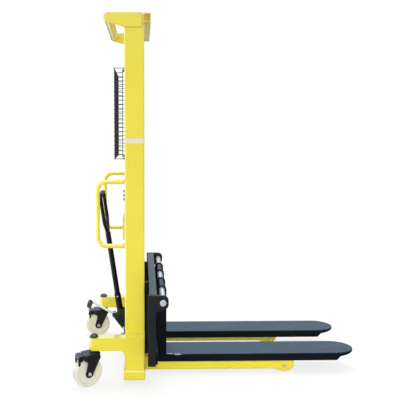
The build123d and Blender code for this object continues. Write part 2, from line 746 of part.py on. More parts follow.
def chain_anchor(x, z_top, lug_low, lug_high):
    """Threaded anchor with its clevis block and a nut on each side of the lug."""
    half = ANCHOR_BLOCK_HALF
    z_low = z_top - ANCHOR_BLOCK_H
    body = block(x - CHAIN_T / 2, x + CHAIN_T / 2, -half, half, z_low, z_top)
    body += bar_z(x, 0, ANCHOR_R, lug_low - ANCHOR_TAIL, z_low)
    body += hexagon_z(x, 0, ANCHOR_NUT_R, lug_low - ANCHOR_NUT_H, lug_low)
    return body + hexagon_z(x, 0, ANCHOR_NUT_R, lug_high, lug_high + ANCHOR_NUT_H)


def rear_chain_lug():
    """Height band of the fixed lug on the cross tie."""
    return TIE_HIGH - LUG_H, TIE_HIGH


def front_chain_lug():
    """Height band of the lug on the carriage's lower bar."""
    low = CARRIAGE_LOW + LOWER_BAR_H
    return low, low + LUG_H


def mid_tie_with_lug():
    """The cross tie with the lug for the fixed end of the chain and a window round its lower nut."""
    x = CYL_X - chain_radius()
    low, high = rear_chain_lug()
    body = mid_cross_tie() + block(0, x + CHAIN_T, -CLAMP_WEB, CLAMP_WEB, low, high)
    room = ANCHOR_NUT_R + NUT_ROOM
    body -= block(-TIE_T - 1, 1, -room, room, low - ANCHOR_TAIL - NUT_ROOM, low)
    return body - bar_z(x, 0, ANCHOR_R + SEAT, low - 1, high + 1)


# Carriage and forks

def carriage_bar(front, z0, z1):
    """Box section across the carriage."""
    wall = CARRIAGE_BAR_WALL
    body = block(BAR_REAR, front, -END_PLATE_IN, END_PLATE_IN, z0, z1)
    hollow = (-END_PLATE_IN - 1, END_PLATE_IN + 1, z0 + wall, z1 - wall)
    return body - block(BAR_REAR + wall, front - wall, *hollow)


def fork_rear():
    """Rear face of the fork shanks."""
    return SHAFT_X - FORK_LUG_R


def carriage_top_bar():
    """Upper cross bar."""
    return carriage_bar(fork_rear() - TOP_BAR_GAP, CARRIAGE_TOP - CARRIAGE_BAR_H, CARRIAGE_TOP)


def carriage_lower_bar():
    """Lower cross bar that the fork heels lean on, with the chain lug on its back."""
    z0 = CARRIAGE_LOW
    body = carriage_bar(fork_rear() - GAP, z0, z0 + LOWER_BAR_H)
    x = CYL_X + chain_radius()
    low, high = front_chain_lug()
    rear = x - LUG_EDGE
    body += block(BAR_REAR, BAR_REAR + ANCHOR_NUT_R, -CLAMP_WEB, CLAMP_WEB, z0 + LOWER_BAR_H, high)
    body += block(rear, BAR_REAR, -CLAMP_WEB, CLAMP_WEB, low, high)
    return body - bar_z(x, 0, ANCHOR_R + SEAT, low - 1, high + 1)


def carriage_end_plate(s):
    """Plate with a rounded nose that carries one end of the fork shaft."""
    nose_front = SHAFT_X + END_NOSE_R
    nose_mid = CARRIAGE_TOP - END_NOSE_R
    nose_low = SHAFT_Z - END_NOSE_DROP
    face = outline(
        (END_REAR, END_LOW),
        (END_FRONT, END_LOW),
        (END_FRONT, END_NOSE_LOW),
        (SHAFT_X, nose_low - END_NOSE_R),
        (nose_front, nose_low),
        (nose_front, nose_mid),
        (SHAFT_X, CARRIAGE_TOP),
        (END_REAR, CARRIAGE_TOP),
    )
    face += disc(SHAFT_X, nose_mid, END_NOSE_R)
    face += disc(SHAFT_X, nose_low, END_NOSE_R)
    outer = END_PLATE_IN + END_PLATE_T
    body = slab_y(face, *side(s, END_PLATE_IN, outer))
    toe = outline(
        (s * outer, END_LOW + END_TOE_H),
        (s * (outer + 1), END_LOW - 1),
        (s * (outer - END_TOE_CUT), END_LOW - 1),
    )
    body -= slab_x(toe, END_REAR - 1, END_FRONT + 1)
    return body - bar_y(SHAFT_X, SHAFT_Z, SHAFT_R + SEAT, *side(s, END_PLATE_IN - 1, outer + 1))


def guide_plate(s):
    """Plate that reaches between the channels and carries two guide rollers."""
    face = outline(
        (MAST_D / 2, CARRIAGE_LOW - GUIDE_SKIRT),
        (BAR_REAR, CARRIAGE_LOW - GUIDE_SKIRT),
        (BAR_REAR, CARRIAGE_TOP),
        (MAST_D / 2 - GUIDE_NECK, CARRIAGE_TOP),
        (GUIDE_PLATE_REAR, GUIDE_Z["upper"]),
        (GUIDE_PLATE_REAR + GUIDE_NECK, (GUIDE_Z["upper"] + GUIDE_Z["lower"]) / 2),
        (GUIDE_PLATE_REAR, GUIDE_Z["lower"]),
        (MAST_D / 2 - GUIDE_NECK, CARRIAGE_LOW),
    )
    band = side(s, GUIDE_PLATE_IN, GUIDE_PLATE_IN + GUIDE_PLATE_T)
    body = slab_y(face, *band)
    for z in GUIDE_Z.values():
        body -= bar_y(MAST_D / 2, z, GUIDE_AXLE_R + SEAT, band[0] - 1, band[1] + 1)
    return body


def guide_roller_axles():
    """Four shouldered stub axles."""
    axles = []
    x = MAST_D / 2
    plate_out = GUIDE_PLATE_IN + GUIDE_PLATE_T
    collar_in = GUIDE_IN + GUIDE_W + GAP
    for s in SIDES.values():
        for z in GUIDE_Z.values():
            body = bar_y(x, z, GUIDE_AXLE_R, *side(s, GUIDE_PLATE_IN - GUIDE_COLLAR_T, collar_in))
            body += bar_y(x, z, GUIDE_COLLAR_R, *side(s, plate_out, GUIDE_IN - GAP))
            body += bar_y(x, z, GUIDE_COLLAR_R, *side(s, collar_in, collar_in + GUIDE_COLLAR_T))
            axles.append(body)
    return Compound(children=axles)


def guide_roller(s, level):
    """Steel roller that runs inside a channel."""
    x, z = MAST_D / 2, GUIDE_Z[level]
    radius = MAST_D / 2 - FLANGE_T - GUIDE_SIDE_GAP
    band = side(s, GUIDE_IN, GUIDE_IN + GUIDE_W)
    body = bar_y(x, z, radius, *band)
    body = chamfer(body.edges().filter_by(GeomType.CIRCLE), GUIDE_EDGE)
    return body - bar_y(x, z, GUIDE_AXLE_R + RUN, band[0] - 1, band[1] + 1)


def fork_shaft():
    """Bright round shaft that both forks slide along."""
    reach = END_PLATE_IN + END_PLATE_T + SHAFT_PROUD
    body = bar_y(SHAFT_X, SHAFT_Z, SHAFT_R, -reach, reach)
    return chamfer(body.edges().filter_by(GeomType.CIRCLE), SHAFT_EDGE)


def fork_plan(inset):
    """Outline of a fork blade seen from above, with its rounded tip, drawn in by an inset."""
    half = FORK_W / 2 - inset
    nose = FORK_NOSE - inset
    start = FORK_TIP - FORK_NOSE
    rear = fork_rear() + inset
    body = Pos((rear + start) / 2, 0) * Rectangle(start - rear, 2 * half)
    return body + Pos(start, 0) * Ellipse(nose, half)


def fork(s):
    """Folded fork: blade with lips, channel-shaped shank and the sleeve that slides on the shaft."""
    body = slab_z(fork_plan(0), FORK_LOW, FORK_TOP)
    top_edges = body.faces().sort_by(Axis.Z)[-1].edges()
    body = fillet(top_edges, FORK_EDGE)
    body -= slab_z(fork_plan(FORK_T), FORK_LOW - 1, FORK_TOP - FORK_T)
    taper = outline(
        (FORK_TIP - FORK_TAPER, FORK_LOW - 1),
        (FORK_TIP - FORK_TAPER + FORK_TAPER_STEP, (FORK_LOW + FORK_TOP) / 2),
        (FORK_TIP + 1, FORK_TOP - FORK_TIP_T),
        (FORK_TIP + 1, FORK_LOW - 1),
    )
    body -= slab_y(taper, -FORK_W, FORK_W)
    rear, front = fork_rear(), SHAFT_X + FORK_LUG_R
    cheek = outline((rear, FORK_LOW), (front, FORK_LOW), (front, SHAFT_Z), (rear, SHAFT_Z))
    cheek += disc(SHAFT_X, SHAFT_Z, FORK_LUG_R)
    half = FORK_W / 2
    for t in SIDES.values():
        body += slab_y(cheek, *side(t, half - FORK_T, half))
    body += block(front - FORK_T, front, -half, half, FORK_LOW, SHANK_TOP)
    inner = half - FORK_T
    body -= block(rear - 1, front - FORK_T, -inner, inner, FORK_LOW - 1, FORK_TOP - FORK_T)
    body += bar_y(SHAFT_X, SHAFT_Z, FORK_SLEEVE_R, -half, half)
    body -= bar_y(SHAFT_X, SHAFT_Z, SHAFT_R + RUN, -half - 1, half + 1)
    return Pos(0, s * FORK_Y, 0) * body


# Pump, handle and pedal

def pump_body():
    """Pump casting: barrel on a foot against the cylinder, head with ears, web and pedal ears."""
    wall = CYL_X - CYL_FOOT
    ear_in = SOCKET_HALF + GAP
    ear_out = ear_in + EAR_T
    head_rear = PIVOT_X + EAR_R + EAR_ROOM
    pump_rear = PUMP_X - PUMP_R
    foot_top = BASE_TOP + PUMP_FOOT_H
    body = block(pump_rear - PUMP_FOOT_LIP, wall, -PUMP_FOOT_HALF, PUMP_FOOT_HALF, BASE_TOP, foot_top)
    body += bar_z(PUMP_X, 0, PUMP_R, BASE_TOP, PUMP_TOP)
    body += block(head_rear, wall - HEAD_INSET, -ear_out, ear_out, HEAD_LOW, HEAD_TOP)
    ear = outline(
        (PIVOT_X, PIVOT_Z - EAR_R), (head_rear, HEAD_LOW), (0, HEAD_TOP), (PIVOT_X, PIVOT_Z + EAR_R)
    )
    ear += disc(PIVOT_X, PIVOT_Z, EAR_R)
    web_half = PEDAL_HUB_HALF + WEB_SIDE
    web_rear = PEDAL_X + PEDAL_HUB_R + EAR_ROOM
    web_top = PIVOT_Z - SOCKET_BOSS - WEB_ROOM
    gusset = [(PEDAL_X + x, PEDAL_Z + z) for x, z in GUSSET]
    web_low = gusset[-1][1]
    inner_end = [(PUMP_X, web_low), (PUMP_X, web_top)]
    web = outline((web_rear, web_top), (web_rear, gusset[0][1]), *gusset, *inner_end)
    body += slab_y(web, -web_half, web_half)
    wing = outline((PEDAL_X, web_top), (PEDAL_X - WING_R, PEDAL_Z), *gusset, *inner_end)
    wing += disc(PEDAL_X, PEDAL_Z, WING_R)
    for s in SIDES.values():
        body += slab_y(ear, *side(s, ear_in, ear_out))
        body += slab_y(wing, *side(s, PEDAL_HUB_HALF + GAP, PEDAL_HUB_HALF + GAP + EAR_T))
    body -= bar_y(PIVOT_X, PIVOT_Z, PIVOT_R + SEAT, -2 * ear_out, 2 * ear_out)
    return body - bar_y(PEDAL_X, PEDAL_Z, PEDAL_PIN_R + SEAT, -ear_out, ear_out)


def pump_pins():
    """Pivot pins of the handle and of the pedal."""
    ear_out = SOCKET_HALF + GAP + EAR_T
    wing_out = PEDAL_HUB_HALF + GAP + EAR_T
    handle_pin = bar_y(PIVOT_X, PIVOT_Z, PIVOT_R, -ear_out - PIN_PROUD, ear_out + PIN_PROUD)
    pedal_pin = bar_y(PEDAL_X, PEDAL_Z, PEDAL_PIN_R, -wing_out - PIN_PROUD, wing_out + PIN_PROUD)
    return Compound(children=[handle_pin, pedal_pin])


def at_handle():
    """The handle's own frame: its pivot, leaning back by the rest angle."""
    return Pos(PIVOT_X, 0, PIVOT_Z) * Rot(0, -HANDLE_LEAN, 0)


def handle_socket():
    """Rocker that turns on the pivot pin and takes the handle tube."""
    body = bar_y(0, 0, SOCKET_BOSS, -SOCKET_HALF, SOCKET_HALF)
    body += bar_z(0, 0, SOCKET_R, 0, SOCKET_L)
    body -= bar_z(0, 0, HANDLE_R + SEAT, HANDLE_START, SOCKET_L + 1)
    body -= bar_y(0, 0, PIVOT_R + RUN, -2 * SOCKET_HALF, 2 * SOCKET_HALF)
    return at_handle() * body


def pump_handle():
    """Straight tube that opens into a wide hand loop."""
    body = bar_z(0, 0, HANDLE_R, HANDLE_START + GAP, HANDLE_NECK)
    for s in SIDES.values():
        corners = [
            (0, 0, HANDLE_NECK - HANDLE_R),
            (0, s * HANDLE_HALF, HANDLE_SHOULDER),
            (0, s * HANDLE_HALF, HANDLE_TOP),
            (0, 0, HANDLE_TOP),
        ]
        path = FilletPolyline(*corners, radius=HANDLE_BEND)
        rise = HANDLE_SHOULDER - HANDLE_NECK + HANDLE_R
        start = Plane(origin=corners[0], x_dir=(1, 0, 0), z_dir=(0, s * HANDLE_HALF, rise))
        body += sweep(start * Circle(HANDLE_LOOP_R), path)
    body -= bar_z(0, 0, HANDLE_R - HANDLE_WALL, HANDLE_START, HANDLE_NECK - 2 * HANDLE_R)
    return at_handle() * body


def handle_grip():
    """Rubber sleeve on the bar of the hand loop."""
    body = bar_y(0, HANDLE_TOP, GRIP_R, -GRIP_HALF, GRIP_HALF)
    body -= bar_y(0, HANDLE_TOP, HANDLE_LOOP_R + SEAT, -GRIP_HALF - 1, GRIP_HALF + 1)
    return at_handle() * body


def foot_pedal_arm():
    """Bright bent bar from its hub on the pump to the crossbar under the foot."""
    hub = (PEDAL_X, 0, PEDAL_Z)
    path = FilletPolyline(hub, (PAD_X, 0, PAD_Z), (PAD_X, PAD_NEAR + PAD_END, PAD_Z), radius=PEDAL_BEND)
    start = Plane(origin=hub, x_dir=(0, 1, 0), z_dir=(PAD_X - PEDAL_X, 0, PAD_Z - PEDAL_Z))
    body = sweep(start * Circle(PEDAL_BAR_R), path)
    body += bar_y(PEDAL_X, PEDAL_Z, PEDAL_HUB_R, -PEDAL_HUB_HALF, PEDAL_HUB_HALF)
    return body - bar_y(PEDAL_X, PEDAL_Z, PEDAL_PIN_R + RUN, -2 * PEDAL_HUB_HALF, 2 * PEDAL_HUB_HALF)


def foot_pedal_pad():
    """Rubber sleeve on the pedal's crossbar."""
    body = bar_y(PAD_X, PAD_Z, PAD_R, PAD_NEAR, PAD_FAR)
    return body - bar_y(PAD_X, PAD_Z, PEDAL_BAR_R + SEAT, PAD_NEAR + PAD_END, PAD_FAR + 1)


# Casters

def swivel_deg(s):
    """How far a caster is turned about its kingpin."""
    return LEFT_SWIVEL_DEG if s > 0 else RIGHT_SWIVEL_DEG


def at_caster(s):
    """The frame of a caster, turned to where it stands in the photograph."""
    return Pos(KING_X, s * KING_Y, 0) * Rot(0, 0, swivel_deg(s))


def caster_fork(s):
    """Pressed fork with its crown, swivel head and kingpin."""
    inner, outer = CASTER_LEG_IN, CASTER_LEG_IN + CASTER_LEG_T
    crown = RectangleRounded(CROWN_REAR - CROWN_FRONT, 2 * outer, CROWN_CORNER)
    crown_mid = (CROWN_FRONT + CROWN_REAR) / 2
    body = slab_z(Pos(crown_mid, 0) * crown, CROWN_LOW, CROWN_TOP)
    body += bar_z(0, 0, SWIVEL_R, CROWN_TOP, ARM_LOW - GAP)
    body += bar_z(0, 0, KING_R, CROWN_TOP, ARM_TOP - KING_INSET)
    body += hexagon_z(0, 0, KING_NUT_R, king_nut_low(), ARM_TOP - KING_INSET)
    leg = outline(
        (CROWN_FRONT + CROWN_CORNER, CROWN_TOP),
        (CROWN_FRONT, CROWN_LOW - SKIRT_FRONT),
        (TRAIL - BOSS_R, WHEEL_R),
        (TRAIL + BOSS_R, WHEEL_R),
        (TRAIL + WAIST_OUT, WHEEL_R + WAIST_RISE),
        (TRAIL + SHOULDER_OUT, WHEEL_R + SHOULDER_RISE),
        (CROWN_REAR, CROWN_LOW - SKIRT_REAR),
        (CROWN_REAR - CROWN_CORNER, CROWN_TOP),
    )
    leg += disc(TRAIL, WHEEL_R, BOSS_R)
    for t in SIDES.values():
        body += slab_y(leg, *side(t, inner, outer))
    body -= bar_y(TRAIL, WHEEL_R, WHEEL_BOLT_R + SEAT, -outer - 1, outer + 1)
    for t in SIDES.values():
        body += bar_y(BRAKE_X, BRAKE_Z, BRAKE_PIN_R, *side(t, BRAKE_PIN_IN, outer + PIN_PROUD))
    return at_caster(s) * body


def caster_axle(s):
    """Bolt and nut that the wheel turns on."""
    outer = CASTER_LEG_IN + CASTER_LEG_T
    body = bar_y(TRAIL, WHEEL_R, WHEEL_BOLT_R, -outer - WHEEL_NUT_H - BOLT_PROUD, outer)
    body += hexagon_y(TRAIL, WHEEL_R, WHEEL_NUT_R, -outer - WHEEL_NUT_H, -outer)
    body += hexagon_y(TRAIL, WHEEL_R, WHEEL_NUT_R, outer, outer + WHEEL_NUT_H)
    return at_caster(s) * body


def caster_wheel(s):
    """Nylon wheel with a rounded tread, dished sides and a hub."""
    body = bar_y(TRAIL, WHEEL_R, WHEEL_R, -WHEEL_HALF, WHEEL_HALF)
    body = fillet(body.edges().filter_by(GeomType.CIRCLE), WHEEL_EDGE)
    for t in SIDES.values():
        dish = bar_y(TRAIL, WHEEL_R, DISH_OUT, *side(t, WHEEL_HALF - DISH_DEPTH, WHEEL_HALF + 1))
        body -= dish - bar_y(TRAIL, WHEEL_R, HUB_R, *side(t, WHEEL_HALF - 2 * DISH_DEPTH, WHEEL_HALF + 2))
    body += bar_y(TRAIL, WHEEL_R, HUB_R, -HUB_HALF, HUB_HALF)
    return at_caster(s) * (body - bar_y(TRAIL, WHEEL_R, WHEEL_BOLT_R + RUN, -HUB_HALF - 1, HUB_HALF + 1))


def caster_brake(s):
    """Brake pedal with a hook on each side of the wheel, pressed down by foot."""
    top = BRAKE_Z + BRAKE_RISE
    under = top - BRAKE_PLATE_T
    bend = BRAKE_X + BRAKE_BEND
    plate = outline(
        (BRAKE_X, BRAKE_Z - BRAKE_DIP),
        (BRAKE_X, BRAKE_Z - BRAKE_DIP + BRAKE_PLATE_T),
        (bend, BRAKE_Z - BRAKE_DIP + BRAKE_PLATE_T),
        (bend + BRAKE_SLOPE, top),
        (BRAKE_TIP - BRAKE_CURL, top),
        (BRAKE_TIP, top - BRAKE_CURL),
        (BRAKE_TIP, BRAKE_Z - BRAKE_DIP),
        (BRAKE_TIP - BRAKE_CURL, under),
        (bend + BRAKE_SLOPE + BRAKE_PLATE_T, under),
        (bend + BRAKE_PLATE_T, BRAKE_Z - BRAKE_DIP),
    )
    body = slab_y(plate, -BRAKE_HALF, BRAKE_HALF)
    body += bar_y(BRAKE_X, BRAKE_Z, BRAKE_HUB_R, -BRAKE_HALF, BRAKE_HALF)
    hook_low = BRAKE_Z - HOOK_DROP
    cheek = outline(
        (BRAKE_TIP - BRAKE_ROOT, BRAKE_Z - CHEEK_DROP),
        (bend + BRAKE_SLOPE, under),
        (BRAKE_TIP - BRAKE_CURL, top - BRAKE_CURL),
        (BRAKE_TIP, under),
        (BRAKE_TIP, hook_low + HOOK_EDGE),
        (BRAKE_TIP - HOOK_EDGE, hook_low),
        (BRAKE_TIP - HOOK_W, hook_low + HOOK_EDGE),
        (BRAKE_TIP - HOOK_W, BRAKE_Z - HOOK_W),
    )
    for t in SIDES.values():
        body += slab_y(cheek, *side(t, BRAKE_HALF - BRAKE_CHEEK_T, BRAKE_HALF))
    body -= bar_y(BRAKE_X, BRAKE_Z, BRAKE_PIN_R + RUN, -BRAKE_HALF - 1, BRAKE_HALF + 1)
    return at_caster(s) * body


# All pieces under their names

nodes = {
    "top_handle": top_handle(),
    "front_top_beam": front_top_beam(),
    "mid_cross_tie": mid_tie_with_lug(),
    "base_beam": base_beam(),
    "load_roller_axles": load_roller_axles(),
    "mesh_guard_panel": mesh_guard_panel(),
    "mesh_guard_bolts": mesh_guard_bolts(),
    "kingpin_caps": kingpin_caps(),
    "kingpin_bearings": kingpin_bearings(),
    "lift_cylinder": lift_cylinder(),
    "cylinder_gland": cylinder_gland(),
    "piston_rod": piston_rod(),
    "pulley_yoke": pulley_yoke(),
    "chain_pulley": chain_pulley(),
    "lift_chain_wrap": lift_chain_wrap(),
    "lift_chain_rear_run": chain_run(CYL_X - chain_radius(), REAR_ANCHOR_Z),
    "lift_chain_front_run": chain_run(CYL_X + chain_radius(), CHAIN_ANCHOR_Z),
    "rear_chain_anchor": chain_anchor(CYL_X - chain_radius(), REAR_ANCHOR_Z, *rear_chain_lug()),
    "front_chain_anchor": chain_anchor(CYL_X + chain_radius(), CHAIN_ANCHOR_Z, *front_chain_lug()),
    "carriage_top_bar": carriage_top_bar(),
    "carriage_lower_bar": carriage_lower_bar(),
    "guide_roller_axles": guide_roller_axles(),
    "fork_shaft": fork_shaft(),
    "pump_body": pump_body(),
    "pump_pins": pump_pins(),
    "handle_socket": handle_socket(),
    "pump_handle": pump_handle(),
    "handle_grip": handle_grip(),
    "foot_pedal_arm": foot_pedal_arm(),
    "foot_pedal_pad": foot_pedal_pad(),
}
for word, s in SIDES.items():
    nodes[f"{word}_mast_channel"] = mast_channel(s)
    nodes[f"{word}_outrigger"] = outrigger(s)
    nodes[f"{word}_support_leg"] = support_leg(s)
    nodes[f"{word}_load_roller"] = load_roller(s)
    nodes[f"{word}_handle_loop"] = handle_loop(s)
    nodes[f"{word}_mesh_return"] = mesh_return(s)
    nodes[f"{word}_carriage_end_plate"] = carriage_end_plate(s)
    nodes[f"{word}_guide_plate"] = guide_plate(s)
    for level in GUIDE_Z:
        nodes[f"{word}_{level}_guide_roller"] = guide_roller(s, level)
    nodes[f"{word}_fork"] = fork(s)
    nodes[f"{word}_caster_fork"] = caster_fork(s)
    nodes[f"{word}_caster_axle"] = caster_axle(s)
    nodes[f"{word}_caster_wheel"] = caster_wheel(s)
    nodes[f"{word}_caster_brake"] = caster_brake(s)

# Shared frame: the middle of the length lies over the origin
turns = [math.radians(swivel_deg(s)) for s in SIDES.values()]
backs = [(TRAIL + WHEEL_R) * abs(math.cos(turn)) + WHEEL_HALF * abs(math.sin(turn)) for turn in turns]
REAR_END = KING_X - max(backs)
SHIFT = -(REAR_END + FORK_TIP) / 2

for name, body in nodes.items():
    export_step(Pos(SHIFT, 0, 0) * body, f"parts/{name}.step")
print(f"{len(nodes)} nodes, shift {SHIFT:.3f} mm")
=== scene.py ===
# %% [markdown]
# # A hand stacker, dressed in Blender
# The solids of this machine come from CAD at their real size. Here they get their looks: procedural
# paint, steel, nylon and rubber, and the pieces that a CAD solid leaves plain, such as round wire,
# weld beads and ribbed rubber. One Blender unit is a metre, x points to the fork tips and z up.

# %% Load the solids
import json
import math

import bmesh
import bpy
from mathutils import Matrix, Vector


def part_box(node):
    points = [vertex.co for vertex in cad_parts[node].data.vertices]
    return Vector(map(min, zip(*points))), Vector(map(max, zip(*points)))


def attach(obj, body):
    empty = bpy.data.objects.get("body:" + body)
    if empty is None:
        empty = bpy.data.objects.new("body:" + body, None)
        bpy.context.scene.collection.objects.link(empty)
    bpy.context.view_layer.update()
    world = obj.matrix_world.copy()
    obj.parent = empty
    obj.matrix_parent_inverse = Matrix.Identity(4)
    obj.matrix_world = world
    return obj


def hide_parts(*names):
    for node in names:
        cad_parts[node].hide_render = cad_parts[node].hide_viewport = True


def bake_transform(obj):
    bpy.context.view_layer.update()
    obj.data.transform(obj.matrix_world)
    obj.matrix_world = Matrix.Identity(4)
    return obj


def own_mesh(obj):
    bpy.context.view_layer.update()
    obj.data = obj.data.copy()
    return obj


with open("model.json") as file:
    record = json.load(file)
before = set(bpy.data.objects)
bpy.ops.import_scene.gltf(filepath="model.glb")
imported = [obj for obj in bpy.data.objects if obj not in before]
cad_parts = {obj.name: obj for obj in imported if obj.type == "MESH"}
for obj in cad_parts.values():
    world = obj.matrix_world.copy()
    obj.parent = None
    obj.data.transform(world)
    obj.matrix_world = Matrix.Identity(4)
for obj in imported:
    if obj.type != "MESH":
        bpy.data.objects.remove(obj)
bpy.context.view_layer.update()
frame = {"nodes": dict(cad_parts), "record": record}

# %% [markdown]
# The drawings of this machine measure in millimetres from the rear face of the mast. This helper turns
# such a place into a point of the scene, so the numbers below can be read against a drawing. The mast's
# own section comes first, because tabs, bolts, welds and the band all sit on it.

# %% Places from the drawing
MAST_REAR = -0.535212
MM = 0.001
LEFT, RIGHT = 1, -1
SIDES = {"left": LEFT, "right": RIGHT}
MAST_HALF = 288.0
MAST_DEEP = 112.0
MAST_EDGE = 7.0
FLANGE_IN = 229.0


def at(x, y, z):
    """A place in millimetres from the mast's rear face as a point in metres."""
    return Vector((MAST_REAR + x * MM, y * MM, z * MM))


print("mast's rear face at x =", MAST_REAR, "m")

# %% [markdown]
# A node tree gets long if every node takes five lines, so one helper adds a node, sets its options and
# fills its sockets. A value that is itself an output socket is linked, any other value is typed in.

# %% A helper that adds nodes
def add(tree, kind, sockets=None, **options):
    """Adds one node to a tree and returns it."""
    node = tree.nodes.new(kind)
    for name, value in options.items():
        setattr(node, name, value)
    for name, value in (sockets or {}).items():
        if isinstance(value, bpy.types.NodeSocket):
            tree.links.new(value, node.inputs[name])
        else:
            node.inputs[name].default_value = value
    return node


print("node helper ready")

# %% [markdown]
# Finishes share a few building blocks. Noise gives slow drift or fine grain, Map Range trims it to the
# span that is wanted, and a Bevel node tells where an edge is: its rounded normal turns away there.

# %% Building blocks of a finish
FLAT_AGREES = 0.985
EDGE_AGREES = 0.86
BEVEL_SAMPLES = 4
EVEN = (1, 1, 1)
WIDE_SPAN = (0.3, 0.7)


def rgb(red, green, blue):
    """A colour with full alpha."""
    return (red, green, blue, 1.0)


def new_finish(name):
    """A new material with its tree, its shader and the object's own coordinates."""
    finish = bpy.data.materials.new(name)
    finish.use_nodes = True
    tree = finish.node_tree
    place = add(tree, "ShaderNodeTexCoord").outputs["Object"]
    return finish, tree, tree.nodes["Principled BSDF"], place


def noise(tree, place, scale, detail, stretch=EVEN):
    """A noise value from 0 to 1; a larger stretch packs it closer along that axis."""
    spaced = add(tree, "ShaderNodeMapping", {"Vector": place, "Scale": stretch})
    sockets = {"Vector": spaced.outputs["Vector"], "Scale": scale, "Detail": detail}
    return add(tree, "ShaderNodeTexNoise", sockets).outputs[0]


def remap(tree, value, span, to=(0.0, 1.0)):
    """A span of a value, stretched to a new span and held at its ends."""
    sockets = {"Value": value, "From Min": span[0], "From Max": span[1], "To Min": to[0], "To Max": to[1]}
    return add(tree, "ShaderNodeMapRange", sockets).outputs["Result"]


def mix(tree, factor, first, second):
    """The first colour at factor 0, the second at factor 1."""
    node = add(tree, "ShaderNodeMix", data_type="RGBA")
    for socket, value in zip((node.inputs[0], node.inputs[6], node.inputs[7]), (factor, first, second)):
        if isinstance(value, bpy.types.NodeSocket):
            tree.links.new(value, socket)
        else:
            socket.default_value = value
    return node.outputs[2]


def both(tree, first, second):
    """The product of two values: high only where both are high."""
    return add(tree, "ShaderNodeMath", {0: first, 1: second}, operation="MULTIPLY").outputs[0]


def rounded(tree, radius):
    """A normal that rolls over sharp edges, and a mask that is 1 on them."""
    soft = add(tree, "ShaderNodeBevel", {"Radius": radius}, samples=BEVEL_SAMPLES).outputs["Normal"]
    flat = add(tree, "ShaderNodeNewGeometry").outputs["Normal"]
    dot = add(tree, "ShaderNodeVectorMath", {0: soft, 1: flat}, operation="DOT_PRODUCT")
    return soft, remap(tree, dot.outputs["Value"], (FLAT_AGREES, EDGE_AGREES))


def bump(tree, height, depth, strength, normal):
    """A bump normal from a height value; depth is the height's reach in metres."""
    sockets = {"Height": height, "Distance": depth, "Strength": strength, "Normal": normal}
    return add(tree, "ShaderNodeBump", sockets).outputs["Normal"]


print("building blocks ready")

# %% [markdown]
# Powder coat is baked from dust, so it never lies quite flat: a fine orange peel shows in its
# highlights. The paint also drifts a little in tone, and patches along edges are painted paler, partly as
# wear where they are touched most and partly as a painted highlight. The yellow one has a clear lacquer on
# top, which mirrors more sharply than the paint below.

# %% Powder coat
COAT_EDGE = 0.003
PEEL_SCALE = 420.0
PEEL_DEPTH = 0.00012
PEEL_STRENGTH = 0.35
DRIFT_SCALE = 3.0
DRIFT_SPAN = (0.35, 0.65)
SHEEN_SCALE = 24.0
SHEEN_SWING = 0.03
WEAR_AND_HIGHLIGHT_SCALE = 90.0
WEAR_AND_HIGHLIGHT_SPAN = (0.50, 0.66)
WEAR_AND_HIGHLIGHT_SHARE = 0.6
LACQUER_ROUGHNESS = 0.12


def powder_coat(
    name, colour, shade, rubbed_and_highlight, roughness, edge=COAT_EDGE, tint=None, specular=0.5, lacquer=0.0
):
    """Paint with drift, orange peel, rounded edges, wear and painted highlight on edges, maybe a clear
    lacquer.
    """
    finish, tree, shader, place = new_finish(name)
    drift = remap(tree, noise(tree, place, DRIFT_SCALE, detail=1.0), DRIFT_SPAN)
    body = mix(tree, drift, colour, shade)
    soft, on_edge = rounded(tree, edge)
    # Paler patches on edges: partly rubbed wear, partly a painted highlight.
    patchy = remap(tree, noise(tree, place, WEAR_AND_HIGHLIGHT_SCALE, detail=5.0), WEAR_AND_HIGHLIGHT_SPAN, (0.0, WEAR_AND_HIGHLIGHT_SHARE))
    body = mix(tree, both(tree, on_edge, patchy), body, rubbed_and_highlight)
    grain = noise(tree, place, PEEL_SCALE, detail=1.0)
    tree.links.new(body, shader.inputs["Base Color"])
    sheen = noise(tree, place, SHEEN_SCALE, detail=3.0)
    sheen = remap(tree, sheen, WIDE_SPAN, (roughness - SHEEN_SWING, roughness + SHEEN_SWING))
    tree.links.new(sheen, shader.inputs["Roughness"])
    tree.links.new(bump(tree, grain, PEEL_DEPTH, PEEL_STRENGTH, soft), shader.inputs["Normal"])
    shader.inputs["Specular IOR Level"].default_value = specular
    shader.inputs["Coat Weight"].default_value = lacquer
    shader.inputs["Coat Roughness"].default_value = LACQUER_ROUGHNESS
    if tint:
        shader.inputs["Specular Tint"].default_value = tint
    return finish


yellow = powder_coat(
    "yellow_powder_coat", roughness=0.32, edge=0.012, specular=0.8, lacquer=1.0,
    colour=rgb(0.86, 0.730, 0.038), shade=rgb(0.82, 0.685, 0.030), rubbed_and_highlight=rgb(0.94, 0.86, 0.34),
)
black = powder_coat(
    "black_powder_coat", roughness=0.33,
    colour=rgb(0.010, 0.011, 0.013), shade=rgb(0.014, 0.015, 0.017), rubbed_and_highlight=rgb(0.10, 0.10, 0.11),
)
caster_black = powder_coat(
    "caster_black_paint", roughness=0.36,
    colour=rgb(0.010, 0.010, 0.011), shade=rgb(0.016, 0.015, 0.014), rubbed_and_highlight=rgb(0.16, 0.155, 0.15),
)
wire_black = powder_coat(
    "black_dipped_wire", roughness=0.40, edge=0.0008,
    colour=rgb(0.008, 0.008, 0.009), shade=rgb(0.012, 0.012, 0.013), rubbed_and_highlight=rgb(0.05, 0.05, 0.05),
)
pump_black = powder_coat(
    "pump_enamel", roughness=0.38,
    colour=rgb(0.014, 0.015, 0.017), shade=rgb(0.022, 0.022, 0.024), rubbed_and_highlight=rgb(0.12, 0.12, 0.12),
)
